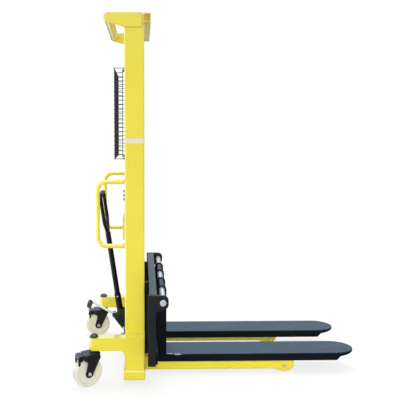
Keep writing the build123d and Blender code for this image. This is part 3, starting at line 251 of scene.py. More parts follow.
handle_black = powder_coat(
    "handle_enamel", roughness=0.45, specular=0.12,
    colour=rgb(0.007, 0.0065, 0.006), shade=rgb(0.011, 0.010, 0.009), rubbed_and_highlight=rgb(0.08, 0.08, 0.08),
)
coats = (yellow, black, caster_black, wire_black, pump_black, handle_black)
print("powder coats:", [coat.name for coat in coats])

# %% [markdown]
# The forks wear first. Loads that are pushed along the blade leave long thin scratches, so their noise is
# packed closely across the blade and drawn out along it. At the near fork's heel, where loads are set down
# against the carriage, the top's outer rim is scuffed pale. Each limit of the scuff is a pair of places
# along one axis, in metres: where it begins and where it is full.

# %% Scratched coat of the forks
SCRATCH_STRETCH = (2.2, 260.0, 40.0)
SCRATCH_SPAN = (0.63, 0.72)
SCRATCH_GREY = rgb(0.13, 0.14, 0.15)
WORN_SCALE = 2.4
WORN_SPAN = (0.46, 0.62)
WORN_SHARE = 0.55
SCUFF_STRETCH = (30.0, 190.0, 60.0)
SCUFF_SPAN = (0.53, 0.60)
SCUFF_PALE = rgb(0.50, 0.57, 0.74)
SCUFF_LIMITS = (
    ("X", (-0.19, -0.22)),
    ("X", (-0.293, -0.285)),
    ("Y", (-0.225, -0.233)),
    ("Z", (0.117, 0.122)),
    ("Z", (0.131, 0.127)),
)


def fork_coat(name):
    """A black coat with lengthwise scratches and one pale scuff."""
    finish = powder_coat(
        name, roughness=0.30, tint=rgb(0.41, 0.75, 1.0), specular=0.52,
        colour=rgb(0.004, 0.004, 0.005), shade=rgb(0.006, 0.006, 0.008), rubbed_and_highlight=rgb(0.14, 0.14, 0.15),
    )
    tree = finish.node_tree
    shader = tree.nodes["Principled BSDF"]
    place = next(node for node in tree.nodes if node.type == "TEX_COORD").outputs["Object"]
    painted = shader.inputs["Base Color"].links[0].from_socket
    streak = noise(tree, place, scale=1.0, detail=6.0, stretch=SCRATCH_STRETCH)
    streak = remap(tree, streak, SCRATCH_SPAN)
    worn = remap(tree, noise(tree, place, WORN_SCALE, detail=2.0), WORN_SPAN, (0.0, WORN_SHARE))
    scratched = mix(tree, both(tree, streak, worn), painted, SCRATCH_GREY)
    axes = add(tree, "ShaderNodeSeparateXYZ", {"Vector": place}).outputs
    chafed = noise(tree, place, scale=1.0, detail=3.0, stretch=SCUFF_STRETCH)
    chafed = remap(tree, chafed, SCUFF_SPAN)
    for axis, limit in SCUFF_LIMITS:
        chafed = both(tree, chafed, remap(tree, axes[axis], limit))
    tree.links.new(mix(tree, chafed, scratched, SCUFF_PALE), shader.inputs["Base Color"])
    return finish


fork_black = fork_coat("fork_powder_coat")
print("fork coat nodes:", len(fork_black.node_tree.nodes))

# %% [markdown]
# Bare metal is read from its reflections. The grain of a turned, drawn or ground surface is noise that
# is stretched along one axis; it changes the roughness and tips the normal by a hair.

# %% Metals
METAL_EDGE = 0.001
METAL_TONE_SCALE = 14.0
GRAIN_SCALE = 40.0
GRAIN_DEPTH = 0.00003
GRAIN_SPAN = (0.25, 0.75)
GRAIN_STRENGTH = 0.4
SMOOTHEST = 0.75
ROUGHEST = 1.3


def metal(name, colour, shade, roughness, stretch=EVEN, depth=GRAIN_DEPTH, scale=GRAIN_SCALE, bare=1.0):
    """Metal with a grain along the axis that is stretched least; bare is less than 1 under dull plating."""
    finish, tree, shader, place = new_finish(name)
    tone = remap(tree, noise(tree, place, METAL_TONE_SCALE, detail=5.0), WIDE_SPAN)
    tree.links.new(mix(tree, tone, colour, shade), shader.inputs["Base Color"])
    grain = noise(tree, place, scale, detail=3.0, stretch=stretch)
    rough = remap(tree, grain, GRAIN_SPAN, (roughness * SMOOTHEST, roughness * ROUGHEST))
    tree.links.new(rough, shader.inputs["Roughness"])
    soft, _ = rounded(tree, METAL_EDGE)
    tree.links.new(bump(tree, grain, depth, GRAIN_STRENGTH, soft), shader.inputs["Normal"])
    shader.inputs["Metallic"].default_value = bare
    return finish


zinc = metal(
    "zinc_plate", roughness=0.34, scale=160.0, bare=0.45,
    colour=rgb(0.80, 0.81, 0.82), shade=rgb(0.66, 0.68, 0.70),
)
chrome = metal(
    "ground_chrome", roughness=0.13, stretch=(1, 1, 14),
    colour=rgb(0.72, 0.74, 0.75), shade=rgb(0.66, 0.68, 0.70),
)
shaft_steel = metal(
    "drawn_shaft", roughness=0.28, stretch=(14, 1, 14), bare=0.5,
    colour=rgb(0.78, 0.79, 0.80), shade=rgb(0.66, 0.68, 0.70),
)
iron = metal(
    "machined_iron", roughness=0.42, stretch=(3, 3, 3), depth=0.00008,
    colour=rgb(0.28, 0.28, 0.285), shade=rgb(0.20, 0.20, 0.205),
)
oiled_chain = metal(
    "oiled_chain_steel", roughness=0.30,
    colour=rgb(0.16, 0.155, 0.15), shade=rgb(0.09, 0.085, 0.08),
)
print("metals:", [finish.name for finish in (zinc, chrome, shaft_steel, iron, oiled_chain)])

# %% [markdown]
# Nylon wheels are cream, not white, and light sinks into them a little before it comes back. Rubber is
# dull and slightly brown, and the moulded caps are glossier than the paint around them.

# %% Nylon, rubber and moulded plastic
MOULD_EDGE = 0.0015
MOULD_TONE_SCALE = 9.0
MOULD_TONE_SPAN = (0.35, 0.7)
MOULD_SHEEN_SCALE = 45.0
MOULD_SHEEN_SWING = 0.07
SINK_SHARE = 0.35
SINK_COLOURS = (1.0, 0.75, 0.5)


def moulded(name, colour, shade, roughness, grain_scale, grain_depth, sink=0.0, specular=0.5):
    """Plastic or rubber; sink is how far in metres light goes in before it leaves."""
    finish, tree, shader, place = new_finish(name)
    tone = remap(tree, noise(tree, place, MOULD_TONE_SCALE, detail=4.0), MOULD_TONE_SPAN)
    tree.links.new(mix(tree, tone, colour, shade), shader.inputs["Base Color"])
    sheen = noise(tree, place, MOULD_SHEEN_SCALE, detail=4.0)
    swing = (roughness - MOULD_SHEEN_SWING, roughness + MOULD_SHEEN_SWING)
    tree.links.new(remap(tree, sheen, WIDE_SPAN, swing), shader.inputs["Roughness"])
    soft, _ = rounded(tree, MOULD_EDGE)
    grain = noise(tree, place, grain_scale, detail=2.0)
    tree.links.new(bump(tree, grain, grain_depth, GRAIN_STRENGTH, soft), shader.inputs["Normal"])
    shader.inputs["Specular IOR Level"].default_value = specular
    if sink:
        shader.inputs["Subsurface Weight"].default_value = SINK_SHARE
        shader.inputs["Subsurface Scale"].default_value = sink
        shader.inputs["Subsurface Radius"].default_value = SINK_COLOURS
    return finish


nylon = moulded(
    "cream_nylon", roughness=0.42, grain_scale=300.0, grain_depth=0.00006, sink=0.004,
    colour=rgb(0.80, 0.78, 0.68), shade=rgb(0.73, 0.70, 0.58),
)
rubber = moulded(
    "black_rubber", roughness=0.62, grain_scale=700.0, grain_depth=0.00008,
    colour=rgb(0.017, 0.016, 0.015), shade=rgb(0.026, 0.024, 0.022),
)
cap_plastic = moulded(
    "cap_plastic", roughness=0.27, grain_scale=500.0, grain_depth=0.00004, specular=0.38,
    colour=rgb(0.022, 0.020, 0.018), shade=rgb(0.030, 0.027, 0.023),
)
band_tape = moulded(
    "cream_band", roughness=0.50, grain_scale=250.0, grain_depth=0.00005,
    colour=rgb(0.76, 0.72, 0.51), shade=rgb(0.70, 0.655, 0.44),
)
print("moulded:", [finish.name for finish in (nylon, rubber, cap_plastic, band_tape)])

# %% [markdown]
# The record names a material slot for each node. One table turns slots into finishes, and a short list
# of exceptions covers nodes whose finish differs from the rest of their slot.

# %% Give every solid its finish
BY_SLOT = {
    "yellow_paint": yellow,
    "black_paint": black,
    "caster_black": caster_black,
    "black_wire": wire_black,
    "bright_steel": zinc,
    "plated_shaft": shaft_steel,
    "cylinder_paint": pump_black,
    "pulley_iron": iron,
    "chain_steel": oiled_chain,
    "white_nylon": nylon,
    "black_rubber": rubber,
    "black_plastic": cap_plastic,
}
BY_NODE = {
    "left_fork": fork_black,
    "right_fork": fork_black,
    "piston_rod": chrome,
    "pump_pins": pump_black,
    "pump_handle": handle_black,
    "handle_socket": handle_black,
}

for part in frame["record"]["subparts"]:
    node = frame["nodes"][part["node"]]
    node.data.materials.clear()
    node.data.materials.append(BY_NODE.get(part["node"], BY_SLOT[part["material_slot"]]))

# %% [markdown]
# New pieces are meshes that sit at the origin with their place in their vertices, just like the solids.
# This helper links one into the scene, paints it and lets it ride on the body it belongs to.

# %% Add a piece to the scene
def piece(mesh, finish, body=None, stands_for=(), smooth=True):
    """Shows a mesh as a piece of the machine; smooth is None if its shading is right already."""
    thing = bpy.data.objects.new(mesh.name, mesh)
    bpy.context.scene.collection.objects.link(thing)
    mesh.materials.clear()
    mesh.materials.append(finish)
    if smooth is not None:
        mesh.polygons.foreach_set("use_smooth", [smooth] * len(mesh.polygons))
    if body:
        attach(thing, body)
    if stands_for:
        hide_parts(*stands_for)
    return thing


def solid(name, points, faces, bevel=0.0):
    """A mesh from points and faces, turned outwards; bevel is in millimetres."""
    mesh = bpy.data.meshes.new(name)
    mesh.from_pydata(points, [], faces)
    shape = bmesh.new()
    shape.from_mesh(mesh)
    bmesh.ops.recalc_face_normals(shape, faces=shape.faces)
    if bevel:
        bmesh.ops.bevel(shape, geom=shape.edges, offset=bevel * MM, segments=2, affect="EDGES")
    shape.to_mesh(mesh)
    shape.free()
    return mesh


def sharpen(mesh, degrees):
    """Keeps edges sharp where two faces meet at more than an angle."""
    shape = bmesh.new()
    shape.from_mesh(mesh)
    for edge in shape.edges:
        edge.smooth = len(edge.link_faces) == 2 and edge.calc_face_angle() < math.radians(degrees)
    shape.to_mesh(mesh)
    shape.free()
    return mesh


print("piece helpers ready")

# %% [markdown]
# Turned and moulded round parts are a profile spun about an axis. Here the profile is a list of radius
# and height pairs along that axis, in millimetres, and it closes on itself, so the result is a solid ring.
# Most of these parts have two equal ends, so half a profile is drawn and then mirrored.

# %% Spin a profile
SPIN_STEPS = 96
SPIN_SHARP = 40


def spin(name, profile, centre, axis, steps=SPIN_STEPS):
    """A ring from (radius, along) pairs in millimetres, spun about an axis through centre."""
    axis = Vector(axis).normalized()
    across = axis.orthogonal().normalized()
    third = axis.cross(across)
    points = []
    for step in range(steps):
        turn = math.tau * step / steps
        out = across * math.cos(turn) + third * math.sin(turn)
        points += [centre + out * (radius * MM) + axis * (along * MM) for radius, along in profile]
    count = len(profile)
    faces = []
    for step in range(steps):
        here, there = step * count, (step + 1) % steps * count
        for k in range(count):
            following = (k + 1) % count
            faces.append((here + k, here + following, there + following, there + k))
    return sharpen(solid(name, points, faces), SPIN_SHARP)


def arc(centre_r, centre_a, radius, start, stop, count=6):
    """Points of a rounded corner in a profile, from one angle in degrees to another in some steps."""
    turns = [math.radians(start + (stop - start) * k / count) for k in range(count + 1)]
    return [(centre_r + radius * math.cos(t), centre_a + radius * math.sin(t)) for t in turns]


def ridge(start, stop, face, rise, slope):
    """A ring that stands out of a face between two radii, or a groove where the rise is negative."""
    return [(start, face), (start + slope, face + rise), (stop - slope, face + rise), (stop, face)]


def mirrored(half):
    """A whole profile from the half on one side of the middle."""
    return half + [(radius, -along) for radius, along in reversed(half)]


def middle(node):
    """Middle of a solid's box."""
    low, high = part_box(node)
    return (low + high) / 2


print("spin ready:", SPIN_STEPS, "steps")

# %% [markdown]
# The caster wheels get a rounded tread, a dished side with soft corners, a low ring in the dish, a groove
# in the rim and a raised hub. Each caster stands at its own angle in the photograph, so its wheel's axis
# is turned by that angle about z.

# %% Caster wheels
SWIVEL_DEGREES = {"left": 192, "right": 207}
WHEEL_STEPS = 128
WHEEL_R = 80.0
TREAD_ROUND = 9.0
TREAD_FLAT = 8.0
TREAD_HOLLOW = 0.1
RIM_FACE = 25.0
RIM_ROUND = 1.2
RIM_GROOVE = {"start": 66.5, "stop": 68.5, "rise": -0.6, "slope": 0.5}
DISH_FACE = 21.0
DISH_OUT = 60.0
DISH_ROUND = 3.0
DISH_RING = {"start": 34.0, "stop": 37.0, "rise": 0.7, "slope": 0.6}
HUB_R = 24.0
HUB_FACE = 28.0
HUB_ROUND = 2.0
HUB_ROOT = 2.4
HUB_FLAT = 21.0
BORE_R = 6.3
BORE_MOUTH = 7.2
BORE_CHAMFER = 0.3


def wheel_side():
    """One half of the wheel's profile, from the bore out to the middle of the tread."""
    hub = [(BORE_R, HUB_FACE - BORE_CHAMFER), (BORE_MOUTH, HUB_FACE), (HUB_FLAT, HUB_FACE)]
    hub += arc(HUB_R - HUB_ROUND, HUB_FACE - HUB_ROUND, HUB_ROUND, 90, 0, 4)
    root = DISH_FACE + HUB_ROOT
    dish = [(HUB_R, root)] + arc(HUB_R + HUB_ROOT, root, HUB_ROOT, 180, 270, 4)
    dish += ridge(face=DISH_FACE, **DISH_RING)
    dish += arc(DISH_OUT - DISH_ROUND, DISH_FACE + DISH_ROUND, DISH_ROUND, 270, 360, 4)
    rim = arc(DISH_OUT + RIM_ROUND, RIM_FACE - RIM_ROUND, RIM_ROUND, 180, 90, 3)
    rim += ridge(face=RIM_FACE, **RIM_GROOVE)
    tread = arc(WHEEL_R - TREAD_ROUND, RIM_FACE - TREAD_ROUND, TREAD_ROUND, 90, 0, 9)
    return hub + dish + rim + tread + [(WHEEL_R - TREAD_HOLLOW, TREAD_FLAT)]


wheel = mirrored(wheel_side())
for word, degrees in SWIVEL_DEGREES.items():
    node = f"{word}_caster_wheel"
    swivel = math.radians(degrees)
    axle = (-math.sin(swivel), math.cos(swivel), 0)
    mesh = spin(f"{word}_nylon_wheel", wheel, middle(node), axle, WHEEL_STEPS)
    piece(mesh, nylon, f"{word}_wheel", [node])
print("caster wheel profile points:", len(wheel))

# %% [markdown]
# The small load rollers at the leg tips are the same idea with a plain barrel, and their axle pins get a
# chamfer and a drilled centre, as turned pins have.

# %% Load rollers and their axle pins
ACROSS = (0, 1, 0)
NEAR_AXIS = 0.01
ROLLER_R = 37.0
ROLLER_FACE = 24.0
ROLLER_ROUND = 4.0
ROLLER_HOLLOW = 0.05
ROLLER_FLAT = 9.0
ROLLER_BORE = 10.3
ROLLER_MOUTH = 11.0
ROLLER_CHAMFER = 0.4
ROLLER_GROOVE = {"start": 19.0, "stop": 27.6, "rise": -1.0, "slope": 0.6}
PIN_STEPS = 48
PIN_R = 10.0
PIN_FACE = 34.0
PIN_FLAT = 8.8
PIN_CHAMFER = 1.1
PIN_SHOULDER = 1.7
DRILL_R = 2.6
DRILL_DEEP = 2.8
CONE_R = 2.4
CONE_FROM = 0.8


def roller_side():
    """Half of the load roller's profile."""
    face = [(ROLLER_BORE, ROLLER_FACE - ROLLER_CHAMFER), (ROLLER_MOUTH, ROLLER_FACE)]
    face += ridge(face=ROLLER_FACE, **ROLLER_GROOVE)
    face += arc(ROLLER_R - ROLLER_ROUND, ROLLER_FACE - ROLLER_ROUND, ROLLER_ROUND, 90, 0, 5)
    return face + [(ROLLER_R - ROLLER_HOLLOW, ROLLER_FLAT)]


def pin_side():
    """Half of an axle pin's profile, from the bottom of its drilled centre to its shank."""
    drilled = [(NEAR_AXIS, PIN_FACE - DRILL_DEEP), (CONE_R, PIN_FACE - CONE_FROM), (DRILL_R, PIN_FACE)]
    shank = [(PIN_R, PIN_FACE - PIN_CHAMFER), (PIN_R, PIN_FACE - PIN_SHOULDER)]
    return drilled + [(PIN_FLAT, PIN_FACE)] + shank


roller = mirrored(roller_side())
pin = mirrored(pin_side())
for word in SIDES:
    node = f"{word}_load_roller"
    mesh = spin(f"{word}_nylon_load_roller", roller, middle(node), ACROSS)
    piece(mesh, nylon, f"{word}_load_wheel", [node])
    mesh = spin(f"{word}_roller_pin", pin, middle(node), ACROSS, PIN_STEPS)
    piece(mesh, zinc, "chassis")
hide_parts("load_roller_axles")
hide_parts("load_roller_axles")

# %% [markdown]
# Rubber sleeves are ribbed so that a hand or a shoe doesn't slip. The ribs are a wave in the profile,
# which falls away a little towards the sleeve's ends.

# %% Ribbed rubber on the hand loop and the pedal
END_WALL = 4.0
END_TAPER = 3.0
END_FALL = 2.0
POINTS_PER_RIB = 6


def ribbed(radius, bore, half_length, pitch, depth, closed=False):
    """Profile of a sleeve with round ribs; a closed sleeve covers the bar's end at its low side."""
    steps = round(2 * half_length / pitch) * POINTS_PER_RIB
    skin = []
    for k in range(steps + 1):
        along = half_length - 2 * half_length * k / steps
        near_end = min(1.0, (half_length - abs(along)) / END_TAPER)
        wave = 0.5 - 0.5 * math.cos(math.tau * (along + half_length) / pitch)
        skin.append((radius - depth * wave - (1 - near_end) ** 2 * END_FALL, along))
    if closed:
        floor = END_WALL - half_length
        inner = [(NEAR_AXIS, -half_length), (NEAR_AXIS, floor), (bore, floor)]
    else:
        inner = [(bore, -half_length)]
    return skin + inner + [(bore, half_length)]


sleeve = ribbed(radius=15.0, bore=11.1, half_length=78.0, pitch=6.5, depth=0.9)
grip = spin("ribbed_hand_grip", sleeve, middle("handle_grip"), ACROSS)
piece(grip, rubber, "handle", ["handle_grip"])
sleeve = ribbed(radius=15.0, bore=7.1, half_length=35.0, pitch=5.0, depth=1.1, closed=True)
pad = spin("ribbed_pedal_pad", sleeve, middle("foot_pedal_pad"), ACROSS)
piece(pad, rubber, "pedal", ["foot_pedal_pad"])
print("sleeve faces:", len(grip.polygons), len(pad.polygons))

# %% [markdown]
# What repeats is grown with Geometry Nodes. A node group is a recipe with named sizes; it runs once on a
# source mesh, and the result is kept as a plain mesh, so nothing is left to work out at render time.

# %% Geometry Nodes helpers
def recipe(name, sizes):
    """A node group that takes a geometry and named sizes; returns it with its input sockets."""
    tree = bpy.data.node_groups.new(name, "GeometryNodeTree")
    tree.interface.new_socket("Geometry", in_out="INPUT", socket_type="NodeSocketGeometry")
    for label, value in sizes.items():
        kind = "NodeSocketInt" if isinstance(value, int) else "NodeSocketFloat"
        tree.interface.new_socket(label, in_out="INPUT", socket_type=kind)
    tree.interface.new_socket("Geometry", in_out="OUTPUT", socket_type="NodeSocketGeometry")
    return tree, add(tree, "NodeGroupInput").outputs


def serve(tree, geometry, finish):
    """Ends a recipe: real geometry in place of instances, painted, to the output."""
    real = add(tree, "GeometryNodeRealizeInstances", {"Geometry": geometry}).outputs["Geometry"]
    painted = add(tree, "GeometryNodeSetMaterial", {"Geometry": real, "Material": finish})
    add(tree, "NodeGroupOutput", {"Geometry": painted.outputs["Geometry"]})
    return tree


def grow(name, tree, source, sizes):
    """Runs a recipe on a source mesh and returns a plain mesh."""
    holder = bpy.data.objects.new(name + "_source", source)
    bpy.context.scene.collection.objects.link(holder)
    growth = holder.modifiers.new("growth", "NODES")
    growth.node_group = tree
    for item in tree.interface.items_tree:
        if item.in_out == "INPUT" and item.name in sizes:
            growth[item.identifier] = sizes[item.name]
    shown = holder.evaluated_get(bpy.context.evaluated_depsgraph_get())
    mesh = bpy.data.meshes.new_from_object(shown)
    mesh.name = name
    bpy.data.objects.remove(holder)
    return mesh


def lines(name, routes):
    """A mesh of bare edges along routes of points."""
    points, edges = [], []
    for route in routes:
        first = len(points)
        points += route
        edges += [(first + k, first + k + 1) for k in range(len(route) - 1)]
    mesh = bpy.data.meshes.new(name)
    mesh.from_pydata(points, edges, [])
    return mesh


def wire(tree, curve, radius, sides):
    """A round wire along a curve."""
    ring = add(tree, "GeometryNodeCurvePrimitiveCircle", {"Resolution": sides, "Radius": radius})
    sockets = {"Curve": curve, "Profile Curve": ring.outputs["Curve"], "Fill Caps": True}
    return add(tree, "GeometryNodeCurveToMesh", sockets).outputs["Mesh"]


def on_points(tree, points, shape):
    """A copy of a shape on every point."""
    sockets = {"Points": points, "Instance": shape}
    return add(tree, "GeometryNodeInstanceOnPoints", sockets).outputs["Instances"]


print("recipes ready")

# %% [markdown]
# The guard is welded from round wire: each level is one wire bent like a staple, and straight posts lie
# against the levels on the inside. The recipe bends nothing itself; it repeats one level up the mast and
# one post across it, and puts one more post at each front end.

# %% Wire guard
GUARD = {
    "Wire radius": 0.0019,
    "Levels": 21,
    "Level pitch": 0.0258,
    "Posts": 10,
    "Post pitch": 0.0482,
    "Post length": 0.520,
}
WIRE_SIDES = 10
GUARD_LOW = 1268.0
GUARD_REAR = -61.7
GUARD_FRONT = -10.0
GUARD_HALF = 225.0
GUARD_BEND = 7.0
BEND_STEPS = 6
POST_FOOT = 1266.0
POST_REAR = -58.4
END_POST_X = -12.0
END_POST_Y = 221.6


def bent_level():
    """One level of the guard: back along the right side, across and forward on the left."""
    route = [at(GUARD_FRONT, -GUARD_HALF, GUARD_LOW)]
    for s, start in ((RIGHT, 270), (LEFT, 180)):
        x, y = GUARD_REAR + GUARD_BEND, s * (GUARD_HALF - GUARD_BEND)
        for k in range(BEND_STEPS + 1):
            turn = math.radians(start - 90 * k / BEND_STEPS)
            route.append(at(x + GUARD_BEND * math.cos(turn), y + GUARD_BEND * math.sin(turn), GUARD_LOW))
    return route + [at(GUARD_FRONT, GUARD_HALF, GUARD_LOW)]


def row(tree, shape, count, start, step):
    """Copies of a shape in a straight row."""
    sockets = {"Count": count, "Start Location": start, "Offset": step}
    spots = add(tree, "GeometryNodeMeshLine", sockets, mode="OFFSET").outputs["Mesh"]
    return on_points(tree, spots, shape)


tree, size = recipe("wire_guard", GUARD)
level = add(tree, "GeometryNodeMeshToCurve", {"Mesh": size["Geometry"]}).outputs["Curve"]
level = wire(tree, level, size["Wire radius"], WIRE_SIDES)
up = add(tree, "ShaderNodeCombineXYZ", {"Z": size["Level pitch"]}).outputs["Vector"]
levels = row(tree, level, size["Levels"], (0, 0, 0), up)
top = add(tree, "ShaderNodeCombineXYZ", {"Z": size["Post length"]}).outputs["Vector"]
post = add(tree, "GeometryNodeCurvePrimitiveLine", {"End": top}).outputs["Curve"]
post = wire(tree, post, size["Wire radius"], WIRE_SIDES)
across = add(tree, "ShaderNodeCombineXYZ", {"Y": size["Post pitch"]}).outputs["Vector"]
half_row = GUARD["Post pitch"] * (GUARD["Posts"] - 1) / 2 / MM
posts = row(tree, post, size["Posts"], at(POST_REAR, -half_row, POST_FOOT), across)
ends = row(tree, post, 2, at(END_POST_X, -END_POST_Y, POST_FOOT), (0, 2 * END_POST_Y * MM, 0))
joined = add(tree, "GeometryNodeJoinGeometry")
for bunch in (levels, posts, ends):
    tree.links.new(bunch, joined.inputs["Geometry"])
serve(tree, joined.outputs["Geometry"], wire_black)
guard = grow("wire_guard", tree, lines("guard_level", [bent_level()]), GUARD)
guard_nodes = ["mesh_guard_panel", "left_mesh_return", "right_mesh_return"]
piece(guard, wire_black, "chassis", guard_nodes)
print("guard:", GUARD["Levels"], "levels,", GUARD["Posts"] + 2, "posts,", len(guard.polygons), "faces")

# %% [markdown]
# Flat plates are an outline with thickness. A small bevel on their edges catches the light the way
# sheared and deburred steel does. Four such plates, each bent to an angle, bolt the guard to the mast.

# %% Plates, with the guard's bolted tabs
TAB_HEIGHTS = {"lower": 1278.0, "upper": 1774.0}
TAB_REAR = -13
TAB_IN = 223
TAB_WALL = 227
TAB_OUT = 263
TAB_T = 5
TAB_HALF = 12
TAB_BEVEL = 0.8


def plate(name, outline, low, high, bevel=0.0):
    """A plate from an outline of x and y in millimetres, between two heights."""
    count = len(outline)
    points = [at(x, y, z) for z in (low, high) for x, y in outline]
    faces = [tuple(range(count)), tuple(range(count, 2 * count))]
    faces += [(k, (k + 1) % count, count + (k + 1) % count, count + k) for k in range(count)]
    return solid(name, points, faces, bevel)


bent = [(TAB_REAR, TAB_IN), (TAB_REAR, TAB_WALL), (-TAB_T, TAB_WALL)]
bent += [(-TAB_T, TAB_OUT), (0, TAB_OUT), (0, TAB_IN)]
for word, s in SIDES.items():
    outline = [(x, s * y) for x, y in bent]
    for height_word, z in TAB_HEIGHTS.items():
        name = f"{word}_{height_word}_guard_tab"
        tab = plate(name, outline, z - TAB_HALF, z + TAB_HALF, TAB_BEVEL)
        piece(tab, wire_black, "chassis", smooth=False)
print("guard tabs:", len(SIDES) * len(TAB_HEIGHTS))

# %% [markdown]
# A hexagon bolt is a washer, a six-sided head and a low cone that stands for the head's chamfer. The
# recipe puts one on every point of its source and turns its head towards a direction.

# %% Hexagon bolts
WASHER_T = 1.2
WASHER_SIDES = 32
HEAD_SIDES = 6
HEAD_SHARE = 0.82
CROWN_SIDES = 24
CROWN_FOOT = 0.87
CROWN_TOP = 0.62
BOLT_SHARP = 25


def lifted(tree, shape, height):
    """A shape that is moved up by a height in millimetres."""
    sockets = {"Geometry": shape, "Translation": (0, 0, height * MM)}
    return add(tree, "GeometryNodeTransform", sockets).outputs["Geometry"]


def bolts(name, places, towards, finish, body, head, height, washer, stands_for=()):
    """Bolt heads at places in millimetres, facing a direction."""
    sizes = {"Head": head * MM, "Washer": washer * MM}
    tree, size = recipe(name + "_recipe", sizes)
    parts = add(tree, "GeometryNodeJoinGeometry")
    stack = ((WASHER_SIDES, size["Washer"], WASHER_T), (HEAD_SIDES, size["Head"], height * HEAD_SHARE))
    foot = 0.0
    for sides, radius, tall in stack:
        sockets = {"Vertices": sides, "Radius": radius, "Depth": tall * MM}
        ring = add(tree, "GeometryNodeMeshCylinder", sockets).outputs["Mesh"]
        tree.links.new(lifted(tree, ring, foot + tall / 2), parts.inputs["Geometry"])
        foot += tall
    sockets = {"Vertices": CROWN_SIDES, "Radius Bottom": head * CROWN_FOOT * MM}
    sockets["Radius Top"] = head * CROWN_TOP * MM
    sockets["Depth"] = height * (1 - HEAD_SHARE) * MM
    crown = add(tree, "GeometryNodeMeshCone", sockets).outputs["Mesh"]
    tree.links.new(lifted(tree, crown, foot), parts.inputs["Geometry"])
    turn = Vector(towards).to_track_quat("Z", "Y").to_euler()
    faced = add(tree, "GeometryNodeTransform", {"Geometry": parts.outputs["Geometry"], "Rotation": turn})
    serve(tree, on_points(tree, size["Geometry"], faced.outputs["Geometry"]), finish)
    mesh = grow(name, tree, lines(name + "_places", [[at(*p)] for p in places]), sizes)
    print(name + ":", len(places))
    return piece(sharpen(mesh, BOLT_SHARP), finish, body, stands_for)


print("bolt recipe ready")

# %% [markdown]
# Bolts hold the guard's tabs, and three dark ones sit in a row on the near channel's rear face. One bolt
# goes through the handle's socket, so its head shows on one side and its nut on the other. The pump has
# a plug on its near side and two bolts in its foot.

# %% Bolts on the mast, the handle and the pump
REARWARD, UPWARD = (-1, 0, 0), (0, 0, 1)
TOWARDS_LEFT, TOWARDS_RIGHT = (0, 1, 0), (0, -1, 0)
TAB_BOLT_Y = 248.6
MAST_BOLT_Y = -270
MAST_BOLT_HEIGHTS = (1042, 1065, 1088)
SOCKET_RIGHT, SOCKET_LEFT = (-56.1, -19.3, 391), (-56.1, 19.3, 391)
PUMP_SIDE = (-18, -19.9, 190)
PUMP_FEET = [(-29, -30, 130), (-29, 30, 130)]

places = [(-TAB_T, s * TAB_BOLT_Y, z) for s in SIDES.values() for z in TAB_HEIGHTS.values()]
bolts(
    "guard_bolts", places, REARWARD, zinc, "chassis",
    head=7.0, height=5.0, washer=8.0, stands_for=["mesh_guard_bolts"],
)
places = [(0, MAST_BOLT_Y, z) for z in MAST_BOLT_HEIGHTS]
bolts(
    "mast_rear_bolts", places, REARWARD, handle_black, "chassis",
    head=7.0, height=6.0, washer=8.0,
)
bolts(
    "socket_bolt_head", [SOCKET_RIGHT], TOWARDS_RIGHT, zinc, "handle",
    head=4.0, height=3.0, washer=4.6,
)
bolts(
    "socket_bolt_nut", [SOCKET_LEFT], TOWARDS_LEFT, zinc, "handle",
    head=4.0, height=3.5, washer=4.6,
)
bolts(
    "pump_plug", [PUMP_SIDE], TOWARDS_RIGHT, zinc, "chassis",
    head=5.6, height=6.0, washer=6.6,
)
bolts(
    "pump_foot_bolts", PUMP_FEET, UPWARD, zinc, "chassis",
    head=5.0, height=5.0, washer=6.0,
)

# %% [markdown]
# A hand-laid weld is a row of overlapping puddles. The recipe walks along a seam in small steps and lets
# the bead's radius swell and shrink in a wave, then gives it a round section.

# %% Recipe of a weld bead
BEAD = {"Bead": 0.0028, "Step": 0.0014, "Ripple": 0.0052, "Swell": 0.20}
BEAD_SIDES = 8
RING_STEPS = 24


def bead_recipe(name, finish):
    """The recipe of a rippled bead along bare edges."""
    tree, size = recipe(name, BEAD)
    seam = add(tree, "GeometryNodeMeshToCurve", {"Mesh": size["Geometry"]}).outputs["Curve"]
    sockets = {"Curve": seam, "Length": size["Step"]}
    seam = add(tree, "GeometryNodeResampleCurve", sockets, mode="LENGTH").outputs["Curve"]
    along = add(tree, "GeometryNodeSplineParameter").outputs["Length"]
    puddle = add(tree, "ShaderNodeMath", {0: along, 1: size["Ripple"]}, operation="DIVIDE").outputs[0]
    turn = add(tree, "ShaderNodeMath", {0: puddle, 1: math.tau}, operation="MULTIPLY").outputs[0]
    wave = add(tree, "ShaderNodeMath", {0: turn}, operation="SINE").outputs[0]
    sockets = {0: wave, 1: size["Swell"], 2: 1.0}
    swell = add(tree, "ShaderNodeMath", sockets, operation="MULTIPLY_ADD").outputs[0]
    seam = add(tree, "GeometryNodeSetCurveRadius", {"Curve": seam, "Radius": swell}).outputs["Curve"]
    return serve(tree, wire(tree, seam, size["Bead"], BEAD_SIDES), finish)


def ring_route(x, y, z, radius):
    """A closed ring in the plane across x."""
    turns = [math.tau * k / RING_STEPS for k in range(RING_STEPS + 1)]
    return [at(x, y + radius * math.cos(t), z + radius * math.sin(t)) for t in turns]


print("bead recipe ready")

# %% [markdown]
# Seams run where plates meet: round the foot and the top cheek plates on the channels' outside, along the
# front beam, the cross tie and the legs' roots, and round each end of the push loops. The carriage is
# welded where its two cross bars meet the end plates and the guide plates.

